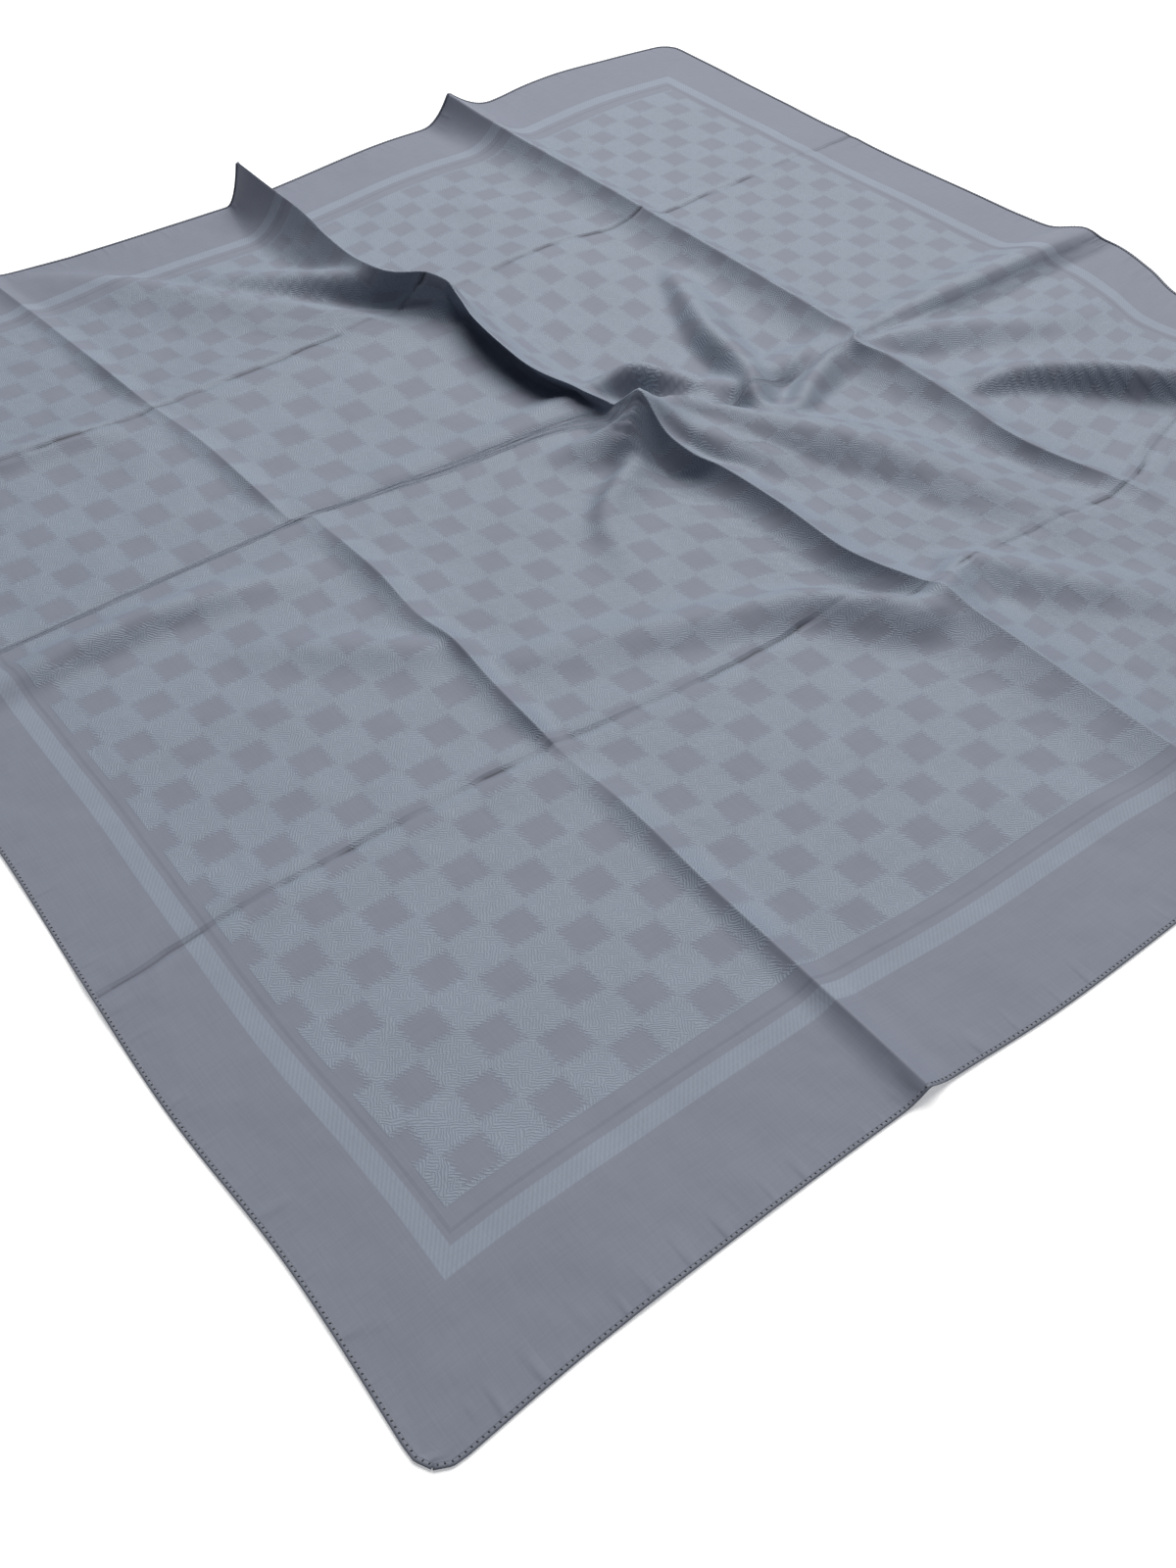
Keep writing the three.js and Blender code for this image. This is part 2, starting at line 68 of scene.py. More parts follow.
# Place along the cloth, cloth in the steep flank, cloth in the easy flank, plan x of the steep foot, plan x
# of the crest, plan x of the easy foot, height of the crest, how far the steep flank runs in under the crest
creases = [
    (cut_width / 4, [
        (0, 14, 14, 215, 229, 243, 6, 0),
        (60, 13, 14, 217, 230, 244, 5, 0),
        (130, 12, 13, 218, 230, 243, 5, 0),
        (190, 13, 14, 218, 232, 246, 4, 0),
        (225, 15, 14, 216, 231, 245, 1, 0),
        (250, 16, 12, 216, 230, 242, 6, 1),
        (285, 17, 13, 215, 232, 245, 5, 1),
        (320, 18, 13, 215, 234, 247, 7, 2),
        (350, 15, 14, 217, 232, 246, 4, 0),
        (385, 17, 14, 216, 234, 248, 6, 1),
        (420, 16, 15, 218, 234, 249, 4, 0),
        (440, 15, 15, 219, 234, 249, 2, 0),
        (452, 15, 15, 220, 235, 250, 1, 0),
        (553, 13, 13, 210, 223, 236, 1, 0),
        (580, 13, 13, 209, 222, 235, 4, 0),
        (640, 14, 13, 207, 221, 234, 3, 0),
        (684, 13, 12, 203, 216, 228, 2, 0),
        (720, 14, 13, 199, 212, 225, 5, 0),
        (800, 14, 13, 194, 208, 221, 3, 0),
        (895, 14, 14, 186, 200, 214, 4, 0),
    ]),
    (cut_width / 2, [
        (0, 40, 36, 409, 449, 480, 7, 0),
        (120, 40, 36, 408, 448, 478, 8, 0),
        (193, 38, 36, 411, 447, 476, 10, 0),
        (236, 32, 36, 415, 444, 472, 11, 0),
        (270, 28, 34, 412, 434, 464, 11, 1),
        (293, 27, 34, 410, 430, 460, 11, 1),
        (345, 26, 32, 411, 430, 458, 12, 1),
        (388, 26, 32, 408, 427, 456, 13, 1),
        (402, 26, 30, 404, 421, 448, 15, 0),
        (425, 34, 32, 400, 418, 446, 19, 0),
        (450, 48, 38, 400, 416, 446, 24, 0),
        (548, 52, 64, 408, 418, 440, 13, 2),
        (570, 52, 66, 410, 411, 438, 14, 5),
        (590, 52, 68, 406, 402, 437, 17, 8),
        (610, 52, 68, 406, 401, 437, 19, 9),
        (640, 52, 68, 409, 404, 439, 21, 9),
        (657, 53, 68, 411, 410, 440, 21, 6),
        (670, 55, 67, 406, 414, 440, 20, 0),
        (684, 57, 65, 392, 408, 438, 20, 0),
        (700, 57, 60, 378, 394, 432, 21, 0),
        (715, 56, 56, 366, 388, 424, 20, 0),
        (745, 54, 46, 360, 388, 412, 20, 0),
        (777, 54, 40, 360, 389, 407, 21, 0),
        (815, 54, 38, 360, 391, 406, 24, 0),
        (850, 50, 37, 362, 390, 405, 26, 0),
        (895, 40, 36, 374, 388, 402, 30, 0),
    ]),
    (3 * cut_width / 4, [
        (0, 18, 24, 608, 624, 646, 3, 0),
        (200, 18, 24, 586, 603, 624, 2, 0),
        (236, 22, 24, 578, 599, 618, 4, 0),
        (280, 22, 26, 568, 584, 610, 8, 0),
        (316, 25, 28, 561, 579, 608, 9, 0),
        (352, 30, 28, 558, 582, 610, 10, 0),
        (417, 40, 30, 550, 580, 610, 13, 0),
        (440, 40, 30, 546, 574, 606, 14, 0),
        (480, 38, 40, 550, 584, 614, 12, 1),
        (560, 36, 36, 553, 586, 613, 12, 2),
        (740, 36, 36, 553, 586, 613, 12, 2),
        (850, 38, 42, 550, 581, 616, 16, 1),
        (895, 34, 50, 551, 577, 622, 21, 0),
    ]),
]

# The two hems beside them. Place along the cloth, plan x
near_left_side = [(0, 0), (90, 3), (170, -1), (236, 0), (341, 3), (600, -2), (895, -12)]
far_right_side = [
    (0, 832), (236, 806), (330, 790), (380, 803), (430, 812), (458, 805),
    (500, 796), (560, 794), (674, 791), (760, 794), (895, 798),
]

# Place across the cloth, then plan y of the near right hem, the first cross crease, the front and the back of
# the middle fold, the last cross crease and the far left hem
cross_rows = [
    (0, 0, 239, 462, 464, 611, 826),
    (74, 3, 243, 461, 463, 609, 824),
    (225, 0, 236, 458, 461, 607, 815),
    (300, -6, 227, 446, 452, 607, 806),
    (400, -8, 219, 432, 440, 606, 803),
    (450, -9, 199, 399, 424, 600, 801),
    (485, -9, 202, 401, 413, 605, 805),
    (520, -9, 205, 388, 396, 610, 809),
    (600, -9, 200, 388, 392, 614, 818),
    (675, -8, 196, 385, 391, 600, 817),
    (740, -8, 214, 378, 390, 601, 828),
    (790, -7, 222, 376, 388, 602, 834),
    (840, -7, 229, 375, 386, 603, 829),
    (900, -6, 236, 374, 384, 603, 820),
]

# The cloth that the middle fold hides: place across, last place seen in front, first place seen behind
hidden_rows = [(0, 452, 553), (450, 450, 548), (675, 440, 474), (900, 430, 458)]
first_cross = 236
last_cross = 684

# The middle fold: place across, height, cloth from its front edge to its crest, cloth in its back flank, lean
# to the front
middle_fold = [
    (0, 1.2, 5, 24, 0), (225, 1.4, 5, 24, 0), (262, 2, 4, 22, 0), (300, 3, 4, 22, 1), (350, 4, 4, 20, 2),
    (400, 5, 4, 20, 3), (450, 7, 4, 22, 3), (500, 7, 6, 22, 0), (600, 9, 7, 22, 0), (675, 9, 7, 24, 0),
    (740, 11, 6, 32, 2), (860, 11, 6, 34, 2), (900, 8, 6, 30, 0),
]
cross_height = 1.1
cross_reach = 9
print("cut", cut_width, "x", cut_length, "mm, with", len(creases), "creases each way")

# %% [markdown]
# ## Soft folds
#
# Between the creases the cloth lies in soft folds: the big one that runs out of the pinch to the right, the
# hook behind it, the deep valley on the far left, and many low swells. Each is a line on the table with a
# height and a reach to either side, which makes it steep on one side and easy on the other. A simulation would
# find folds of its own, and these have to lie where the real ones do, so they are placed one by one.

# %% Soft folds, big and small
# For each: how crisp its crest is, from 0 for a round roll to 1 for an edge, then rows of plan x, plan y,
# height, reach to the left of the line, reach to its right
soft_folds = {
    "great_fold": (0.25, [
        (417, 399, 32, 8, 34), (428, 401, 27, 8, 36), (440, 402, 22, 8, 36), (451, 398, 19, 9, 34),
        (462, 386, 16, 14, 32), (477, 365, 14, 22, 30), (491, 345, 13, 30, 28), (506, 320, 13, 34, 28),
        (518, 293, 12, 38, 28), (526, 268, 10, 40, 28), (533, 246, 8, 40, 28), (552, 200, 3, 36, 30),
        (566, 170, 0, 36, 30),
    ]),
    "apron": (0, [
        (424, 394, 20, 16, 16), (438, 378, 16, 22, 18), (450, 360, 11, 26, 20), (462, 340, 6, 26, 20),
        (475, 318, 0, 26, 20),
    ]),
    "back_roll": (0, [
        (366, 455, 3, 16, 6), (392, 454, 5, 18, 6), (418, 452, 8, 18, 8), (440, 450, 14, 18, 10),
        (451, 442, 20, 18, 12), (460, 431, 18, 16, 12), (470, 419, 14, 14, 10), (482, 408, 10, 12, 9),
        (492, 394, 8, 10, 8),
    ]),
    "hook_ridge": (0.4, [
        (562, 545, 0, 14, 8), (548, 520, 7, 24, 10), (536, 495, 11, 28, 11), (517, 455, 15, 30, 12),
        (509, 423, 17, 28, 11), (500, 398, 17, 24, 10), (490, 383, 14, 16, 8), (492, 372, 10, 10, 8),
        (500, 364, 7, 10, 8),
    ]),
    "shoulder": (0.3, [
        (491, 368, 9, 10, 10), (505, 364, 7, 12, 10), (518, 368, 8, 14, 11), (531, 376, 10, 14, 14),
        (557, 386, 12, 16, 20), (575, 388, 12, 16, 22), (590, 384, 11, 14, 22), (615, 378, 11, 14, 24),
        (654, 360, 9, 20, 24), (693, 340, 5, 24, 22), (740, 322, 0, 26, 22),
    ]),
    "pinch_spread": (0.7, [
        (412, 390, 18, 12, 6), (404, 386, 15, 18, 6), (390, 379, 13, 26, 5), (373, 370, 11, 30, 5),
        (357, 358, 8, 32, 7), (346, 334, 4, 32, 13), (338, 312, 0, 30, 18),
    ]),
    "left_facet": (0.2, [
        (415, 402, 24, 24, 9), (404, 408, 15, 28, 9), (393, 413, 9, 30, 9), (378, 420, 0, 26, 9),
    ]),
    "valley_front": (0.7, [
        (222, 800, 2, 10, 40), (240, 786, 5, 10, 44), (275, 745, 8, 8, 48), (305, 700, 8, 8, 50),
        (337, 660, 7, 8, 50), (357, 631, 6, 8, 44), (376, 605, 4, 8, 36), (392, 586, 0, 8, 30),
    ]),
    "valley_back": (0, [
        (298, 732, 0, 18, 8), (320, 710, 4, 22, 8), (341, 689, 8, 26, 10), (372, 652, 15, 28, 12),
        (398, 616, 19, 22, 13), (409, 598, 21, 18, 12), (414, 582, 18, 14, 8),
    ]),
    "middle_swell": (0.45, [
        (230, 305, 0, 18, 20), (262, 293, 3, 18, 24), (308, 274, 5, 20, 28), (354, 253, 8, 20, 26),
        (392, 234, 12, 18, 26), (412, 210, 14, 18, 26), (436, 190, 14, 20, 28), (476, 204, 10, 20, 26),
        (497, 178, 9, 24, 24), (525, 140, 6, 26, 24), (560, 96, 0, 26, 24),
    ]),
    "left_swell": (0.2, [
        (40, 436, 5, 16, 18), (85, 438, 8, 16, 18), (140, 434, 8, 16, 18), (180, 427, 4, 18, 20),
        (215, 420, 0, 20, 24),
    ]),
    "left_back_swell": (0.2, [
        (20, 616, 4, 18, 20), (120, 614, 7, 18, 20), (165, 610, 5, 18, 20), (205, 590, 0, 16, 18),
    ]),
    "small_swell": (0.6, [
        (140, 391, 0, 10, 14), (168, 377, 3, 12, 20), (190, 358, 5, 12, 24), (214, 338, 5, 12, 26),
        (238, 318, 3, 12, 22),
    ]),
    "right_roll": (0.15, [
        (592, 314, 0, 22, 10), (606, 313, 6, 24, 10), (630, 305, 12, 28, 9), (651, 286, 16, 30, 9),
        (671, 263, 19, 30, 8), (690, 237, 19, 30, 8), (715, 205, 16, 30, 11), (745, 172, 9, 28, 16),
        (784, 140, 0, 28, 22),
    ]),
}

# %% [markdown]
# ## Reading the tables
#
# Five small helpers turn the tables into shape. The first draws a smooth curve through the rows of a table.
# The next three are profiles. Cloth pressed down along a line springs up a little on both sides of it. Beside
# a crisp fold it sags in a hollow slope, and over a soft fold it rolls in a bell. Where folds cross, the last
# helper joins their heights by the cube root of the sum of their cubes, so that a crossing stands hardly
# higher than the higher of the two. The two powers say how hollow the flanks are.


# %% Helpers that read a table and shape a ridge
steep_power = 2
easy_power = 1.7


def read_table(rows, key):
    """The columns of a table at each place in key, on a smooth curve through its rows."""
    table = np.array(rows, float)
    places = table[:, 0]
    last = len(places) - 1
    key = np.clip(np.asarray(key, float), places[0], places[last])
    i = np.clip(np.searchsorted(places, key, side="right") - 1, 0, last - 1)
    before = np.maximum(np.arange(last + 1) - 1, 0)
    after = np.minimum(np.arange(last + 1) + 1, last)
    slopes = (table[after] - table[before]) / (places[after] - places[before])[:, None]
    span = places[i + 1] - places[i]
    f = (key - places[i]) / span
    ease = f * f * (3 - 2 * f)
    columns = []
    for column in range(1, table.shape[1]):
        low, high = table[i, column], table[i + 1, column]
        leaving, arriving = slopes[i, column] * span, slopes[i + 1, column] * span
        columns.append(low + (high - low) * ease + leaving * f * (1 - f) ** 2 - arriving * f * f * (1 - f))
    return columns


def spring(distance, reach):
    return distance / reach * np.exp(1 - distance / reach)


def peak(distance, reach):
    return np.maximum(0, 1 - distance / reach) ** easy_power


def bell(distance, reach):
    return np.maximum(0, 1 - (distance / reach) ** 2) ** 2


def together(*heights):
    return np.cbrt(sum(np.maximum(height, 0) ** 3 for height in heights))


# %% [markdown]
# A soft fold's line has only a few rows. Read at several steps between them, it bends smoothly, and each
# point of the cloth takes the height of the nearest part of the line.


# %% Height of a soft fold
steps_per_row = 4


def fold_height(crisp, rows, x, y):
    """The height that one fold's line gives to the plan points x, y."""
    keyed = [(n, *row) for n, row in enumerate(rows)]
    line = np.array(read_table(keyed, np.linspace(0, len(rows) - 1, steps_per_row * (len(rows) - 1) + 1))).T
    best = np.zeros_like(x)
    for (ax, ay, ah, al, ar), (bx, by, bh, bl, br) in zip(line, line[1:]):
        dx, dy = bx - ax, by - ay
        f = np.clip(((x - ax) * dx + (y - ay) * dy) / (dx * dx + dy * dy), 0, 1)
        ox, oy = x - ax - f * dx, y - ay - f * dy
        reach = np.where(dx * oy - dy * ox > 0, al + f * (bl - al), ar + f * (br - ar))
        away = np.hypot(ox, oy)
        profile = (1 - crisp) * bell(away, reach) + crisp * peak(away, reach)
        best = np.maximum(best, (ah + f * (bh - ah)) * profile)
    return best


# %% [markdown]
# ## From a place on the cloth to a point in space
#
# The pressed creases say how far across the table a place of the cloth comes, and how high. The cross creases
# and the middle fold say the same for the other way. The middle fold hides a strip of cloth under itself. It
# could be modelled as three layers, but nobody sees the two inner ones, so the sheet steps over them and the
# pattern goes on where it comes out again.


# %% The folded surface
spring_reach = 6
roll_step = 1.8


def pressed(across, along):
    """Plan x and height that the pressed creases give."""
    flat = np.zeros_like(across)
    knots = [(flat, read_table(near_left_side, along)[0], flat, flat)]
    for at, rows in creases:
        steep, easy, foot_x, crest_x, easy_x, height, under = read_table(rows, along)
        knots += [
            (at - steep, foot_x, flat, under),
            (at + flat, crest_x, height, flat),
            (at + easy, easy_x, flat, flat),
        ]
    knots.append((cut_width + flat, read_table(far_right_side, along)[0], flat, flat))
    x, z = flat.copy(), flat.copy()
    for (s0, x0, h0, under), (s1, x1, h1, _) in zip(knots, knots[1:]):
        inside = (across >= s0) & (across <= s1)
        f = np.clip((across - s0) / (s1 - s0), 0, 1)
        lifted = h1 * f**steep_power + h0 * (1 - f) ** easy_power
        x = np.where(inside, x0 + f * (x1 - x0) + under * np.sin(np.pi * f), x)
        z = np.where(inside, lifted, z)
    return x, z


def cloth_points(across, along, behind):
    """Points of the cloth's underside. behind is True past the middle fold."""
    near_hem, first, front, back, last, far_hem = read_table(cross_rows, across)
    last_seen, first_seen = read_table(hidden_rows, across)
    fold_rise, fold_front, fold_reach, fold_lean = read_table(middle_fold, across)

    def between(a, b, start, end):
        return start + (along - a) / (b - a) * (end - start)

    if behind:
        y = np.where(
            along < last_cross,
            between(first_seen, last_cross, back, last),
            between(last_cross, cut_length, last, far_hem),
        )
        past_crest = along - first_seen - fold_front
        roll = bell(past_crest, np.where(past_crest < 0, fold_front * roll_step, fold_reach))
        ridge = together(cross_height * spring(abs(along - last_cross), spring_reach), fold_rise * roll)
        y = y - fold_lean * roll
    else:
        y = np.where(
            along < first_cross,
            between(0, first_cross, near_hem, first),
            between(first_cross, last_seen, first, front),
        )
        ridge = cross_height * spring(abs(along - first_cross), spring_reach)
    x, crease = pressed(across, along)
    heights = [fold_height(crisp, rows, x, y) for crisp, rows in soft_folds.values()]
    z = together(crease, ridge, *heights)
    return np.stack([x, y, z], axis=-1)


# %% [markdown]
# ## The grid
#
# A net of square cells could be laid over the cloth, but then the creases would cut through its cells and
# look like saw teeth. So the net's lines follow the creases, and its cells are smaller on their flanks and in
# the middle, where the folds are.

# %% A grid that follows the creases
cells_across = [31, 11, 10, 37, 25, 24, 35, 15, 14, 37]
cells_front = [32, 4, 4, 60]
cells_tuck = 4
cells_back = [9, 46, 4, 4, 30]

crowding = 1.6


def even_steps(count):
    return np.arange(count + 1) / count


def crowded_steps(count, at_end):
    """Steps that crowd together towards a crest, at their end or at their start."""
    crowded = even_steps(count) ** crowding
    return 1 - crowded[::-1] if at_end else crowded


zone = np.concatenate([[0], *[[n] * count for n, count in enumerate(cells_across)]])
share = np.concatenate([[0], *[
    even_steps(count)[1:] if n % 3 == 0 else crowded_steps(count, n % 3 == 1)[1:]
    for n, count in enumerate(cells_across)
]])
column = np.arange(len(zone))


def across_places(along):
    """Where the grid's columns lie across the cloth, each at its own place along it."""
    stops = [0 * along]
    for at, rows in creases:
        steep, easy = read_table(rows, along)[:2]
        stops += [at - steep, at + 0 * along, at + easy]
    stops = np.array([*stops, cut_width + 0 * along])
    return stops[zone, column] + share * (stops[zone + 1, column] - stops[zone, column])


def grid_row(along_of, behind):
    """One row of the grid: its places on the cloth, and its points."""
    across = across_places(along_of(np.full(len(column), cut_width / 2)))
    across = across_places(along_of(across))
    along = along_of(across)
    return across, along, cloth_points(across, along, behind)


def strip_rows(start_of, end_of, count, behind, first_too):
    """Rows from one line of the cloth to another."""
    made = []
    for k in range(0 if first_too else 1, count + 1):
        made.append(grid_row(lambda a, k=k: start_of(a) + k / count * (end_of(a) - start_of(a)), behind))
    return made


def at_place(place):
    return lambda across: place + 0 * across


def last_seen_at(across):
    return read_table(hidden_rows, across)[0]


def first_seen_at(across):
    return read_table(hidden_rows, across)[1]


def flank_end_at(across):
    return first_seen_at(across) + read_table(middle_fold, across)[1] + read_table(middle_fold, across)[2]


front_stops = [
    at_place(0), at_place(first_cross - cross_reach), at_place(first_cross),
    at_place(first_cross + cross_reach), last_seen_at,
]
back_stops = [
    first_seen_at, flank_end_at, at_place(last_cross - cross_reach), at_place(last_cross),
    at_place(last_cross + cross_reach), at_place(cut_length),
]
front, back = [], []
for n, count in enumerate(cells_front):
    front += strip_rows(front_stops[n], front_stops[n + 1], count, False, n == 0)
for n, count in enumerate(cells_back):
    back += strip_rows(back_stops[n], back_stops[n + 1], count, True, n == 0)
tuck = []
for k in range(1, cells_tuck):
    f = k / cells_tuck
    tuck.append(tuple(a + f * (b - a) for a, b in zip(front[-1], back[0])))
rows = front + tuck + back
across_grid = np.array([row[0] for row in rows])
along_grid = np.array([row[1] for row in rows])
points = np.array([row[2] for row in rows])
print("grid", points.shape[0], "x", points.shape[1], "points")
print("highest point", round(float(points[..., 2].max()), 1), "mm")

# %% [markdown]
# ## Settling the cloth
#
# Straight from the tables, the flanks meet in hard edges. Thread bends and never kinks quite so sharply, so
# each point moves a little towards its neighbours, twice over. The hems move only along themselves. The
# machine that rolls the hem can't turn on the spot, so the four corners are drawn in to a small round. Last,
# a slow, low swell of less than a millimetre breaks up the flat parts, as air and handling leave it.

# %% Soften the grid, round its corners, then add the low swell
smoothing_passes = 2
smoothing_share = 0.5
corner_round = 12
swell_height = 0.9
swell_length = 46
swell_lift = 0.1
swell_slice = 0.5


def soften(grid):
    inner = grid[1:-1, 1:-1]
    around = (grid[:-2, 1:-1] + grid[2:, 1:-1] + grid[1:-1, :-2] + grid[1:-1, 2:]) / 4
    softened = grid.copy()
    softened[1:-1, 1:-1] = inner + smoothing_share * (around - inner)
    for side in (np.s_[0, :], np.s_[-1, :], np.s_[:, 0], np.s_[:, -1]):
        line = grid[side]
        softened[side][1:-1] = line[1:-1] + smoothing_share * ((line[:-2] + line[2:]) / 2 - line[1:-1])
    return softened


def round_corners(grid):
    """Pulls the four corners of the square in to a round."""
    to_sides = np.array([across_grid, cut_width - across_grid, along_grid, cut_length - along_grid])
    u = 1 - np.minimum(to_sides[0], to_sides[1]) / corner_round
    v = 1 - np.minimum(to_sides[2], to_sides[3]) / corner_round
    in_corner = (u > 0) & (v > 0)
    pull_x = np.where(in_corner, u - u * np.sqrt(1 - np.clip(v, 0, 1) ** 2 / 2), 0) * corner_round
    pull_y = np.where(in_corner, v - v * np.sqrt(1 - np.clip(u, 0, 1) ** 2 / 2), 0) * corner_round
    rounded = grid.copy()
    rounded[..., 0] += np.where(to_sides[0] < to_sides[1], pull_x, -pull_x)
    rounded[..., 1] += np.where(to_sides[2] < to_sides[3], pull_y, -pull_y)
    return rounded


for _ in range(smoothing_passes):
    points = soften(points)
points = round_corners(points)
swell = np.array([
    [noise.noise(Vector((x / swell_length, y / swell_length, swell_slice))) for x, y, _ in row]
    for row in points
])
points[..., 2] += swell_height * np.clip(swell + swell_lift, 0, 1)
print("after settling, highest point", round(float(points[..., 2].max()), 1), "mm")

# %% [markdown]
# ## The cloth's mesh
#
# A single skin would do for the picture, but the real cloth has two faces, and a closed shell can be used
# anywhere. So the grid is the underside, the same grid moved out by the wall is the upper face, and a narrow
# strip joins them round the edge. The strip stands square to both faces, so its edges are marked sharp, or
# smooth shading would bend round them and leave a dark band beside the hems. The map that the pattern needs
# is simply the place on the cut square.


# %% Build the closed shell
def grid_normals(grid):
    along = np.gradient(grid, axis=0)
    over = np.gradient(grid, axis=1)
    normals = np.cross(over, along)
    return normals / np.linalg.norm(normals, axis=-1, keepdims=True)


def mesh_object(name, vertices, faces):
    mesh = bpy.data.meshes.new(name)
    mesh.from_pydata(vertices, [], faces)
    mesh.validate()
    mesh.shade_smooth()
    made = bpy.data.objects.new(name, mesh)
    bpy.context.scene.collection.objects.link(made)
    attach(made, "root")
    return made


def to_metres(grid):
    return (np.asarray(grid) - (origin_x, origin_y, 0)) * MM


rim_angle = 70
normals = grid_normals(points)
high, wide = points.shape[:2]
upper = points + cloth_wall * normals
places = np.arange(high * wide).reshape(high, wide)
quads = np.stack([places[:-1, :-1], places[:-1, 1:], places[1:, 1:], places[1:, :-1]], axis=-1).reshape(-1, 4)
shift = high * wide
ring = np.concatenate([places[0, :-1], places[:-1, -1], places[-1, :0:-1], places[:0:-1, 0]])
after = np.roll(ring, -1)
rim = np.stack([ring, after, after + shift, ring + shift], axis=-1)
faces = np.concatenate([quads + shift, quads[:, ::-1], rim])
shell_points = to_metres(np.concatenate([points.reshape(-1, 3), upper.reshape(-1, 3)]))
cloth = mesh_object("cloth_square", shell_points.tolist(), faces.tolist())
cloth.data.set_sharp_from_angle(angle=radians(rim_angle))
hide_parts("scarf_cloth")

cut_map = cloth.data.uv_layers.new(name="cut")
place_on_cut = np.stack([across_grid / cut_width, along_grid / cut_length], axis=-1).reshape(-1, 2)
corner = np.zeros(len(cloth.data.loops), np.int32)
cloth.data.loops.foreach_get("vertex_index", corner)
cut_map.data.foreach_set("uv", place_on_cut[corner % shift].astype(np.float32).ravel())
print("cloth", len(cloth.data.polygons), "faces")

# %% [markdown]
# ## The rolled hems
#
# The maker's machine turns the raw edge over twice, into a flat roll about two millimetres wide, and catches
# it with a stitch every 2.4 mm, which pinches the roll. A plain tube would show as a pipe, so the roll is
# carried along the cloth's own edge with a ring at each stitch and a fuller ring between.

# %% Sizes of the hem and a walk along the edge
hem_width = 2.2
hem_rise = 0.6
seam_gap = 0.05
stitch_pitch = 2.4
hem_sides = 8
stitch_pinch = 0.82


def even_line(line, normals_on_line, pitch):
    """Points and normals at even steps along a line of the grid."""
    lengths = np.concatenate([[0], np.cumsum(np.linalg.norm(np.diff(line, axis=0), axis=1))])
    steps = np.linspace(0, lengths[-1], max(2, round(lengths[-1] / pitch)) + 1)
    even = np.stack([np.interp(steps, lengths, line[:, axis]) for axis in range(3)], axis=-1)
    up = np.stack([np.interp(steps, lengths, normals_on_line[:, axis]) for axis in range(3)], axis=-1)
    return even, up / np.linalg.norm(up, axis=1, keepdims=True)


def hem_frames(line, normals_on_line, turn):
    """Along an edge: the points, the way out from the cloth, and the way up."""
    even, up = even_line(line, normals_on_line, stitch_pitch / 2)
    run = np.gradient(even, axis=0)
    run /= np.linalg.norm(run, axis=1, keepdims=True)
    out = turn * np.cross(run, up)
    out /= np.linalg.norm(out, axis=1, keepdims=True)
    return even, run, out, up


# %% [markdown]
# The section of the roll is a flattened ring of eight sides, which lies on one of them. Its ends are closed
# with a cap. Two of the four hems run a little past the corners, so that no wedge stays open where they meet.


# %% Build the four rolls
def roll_section(pinch):
    """Points round the roll: how far out from the cloth, how high above its underside."""
    middle = seam_gap + hem_width / 2
    angles = np.linspace(0, 2 * np.pi, hem_sides, endpoint=False) + np.pi / hem_sides
    out = middle + hem_width / 2 * np.cos(angles)
    height = (cloth_wall + hem_rise) / 2 * (1 + pinch * np.sin(angles))
    return out, np.maximum(height, 0)


def make_hem(name, line, normals_on_line, turn, past_corner):
    even, run, out, up = hem_frames(line, normals_on_line, turn)
    even = even.copy()
    even[0] -= past_corner * run[0]
    even[-1] += past_corner * run[-1]
    rings = []
    for n, point in enumerate(even):
        away, height = roll_section(stitch_pinch if n % 2 else 1)
        rings.append(point + away[:, None] * out[n] + height[:, None] * up[n])
    rings = np.array(rings)
    rings[..., 2] = np.maximum(rings[..., 2], 0)
    count = len(rings)
    places = np.arange(count * hem_sides).reshape(count, hem_sides)
    after = np.roll(places, -1, axis=1)
    sides = np.stack([places[:-1], after[:-1], after[1:], places[1:]], axis=-1).reshape(-1, 4)
    faces = (sides[:, ::-1] if turn > 0 else sides).tolist()
    near_cap, far_cap = places[0].tolist(), places[-1].tolist()
    faces += [near_cap if turn > 0 else near_cap[::-1], far_cap[::-1] if turn > 0 else far_cap]
    hem = mesh_object("roll_" + name, to_metres(rings.reshape(-1, 3)).tolist(), faces)
    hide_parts("hem_" + name)
    return hem


past_corner = 0.6
edges = {
    "near_right": (points[0], normals[0], 1, past_corner),
    "far_left": (points[-1], normals[-1], -1, past_corner),
    "near_left": (points[:, 0], normals[:, 0], -1, 0),
    "far_right": (points[:, -1], normals[:, -1], 1, 0),
}
hems = [make_hem(name, *edge) for name, edge in edges.items()]
print("hems", [len(hem.data.polygons) for hem in hems], "faces")

# %% [markdown]
# ## The stitches
#
# The hem is caught with a dark thread, which shows as a row of short dashes on the roll. Each stitch is a
# tiny spindle that slants over the roll and sinks into it at both ends. All the stitches of a side are one
# mesh, because thousands of objects would only slow the scene down.

# %% Build the rows of stitches
thread_width = 0.5
stitch_length = 1.2
stitch_slant = 0.5
stitch_sides = 5
stitch_out = 0.75
stitch_height = 0.75
# Along the spindle: share of the length from its middle, share of the full width, share of the full height
stitch_rings = [(-0.5, 0.35, -0.3), (-0.28, 0.9, 0.55), (0, 1, 0.8), (0.28, 0.9, 0.55), (0.5, 0.35, -0.3)]


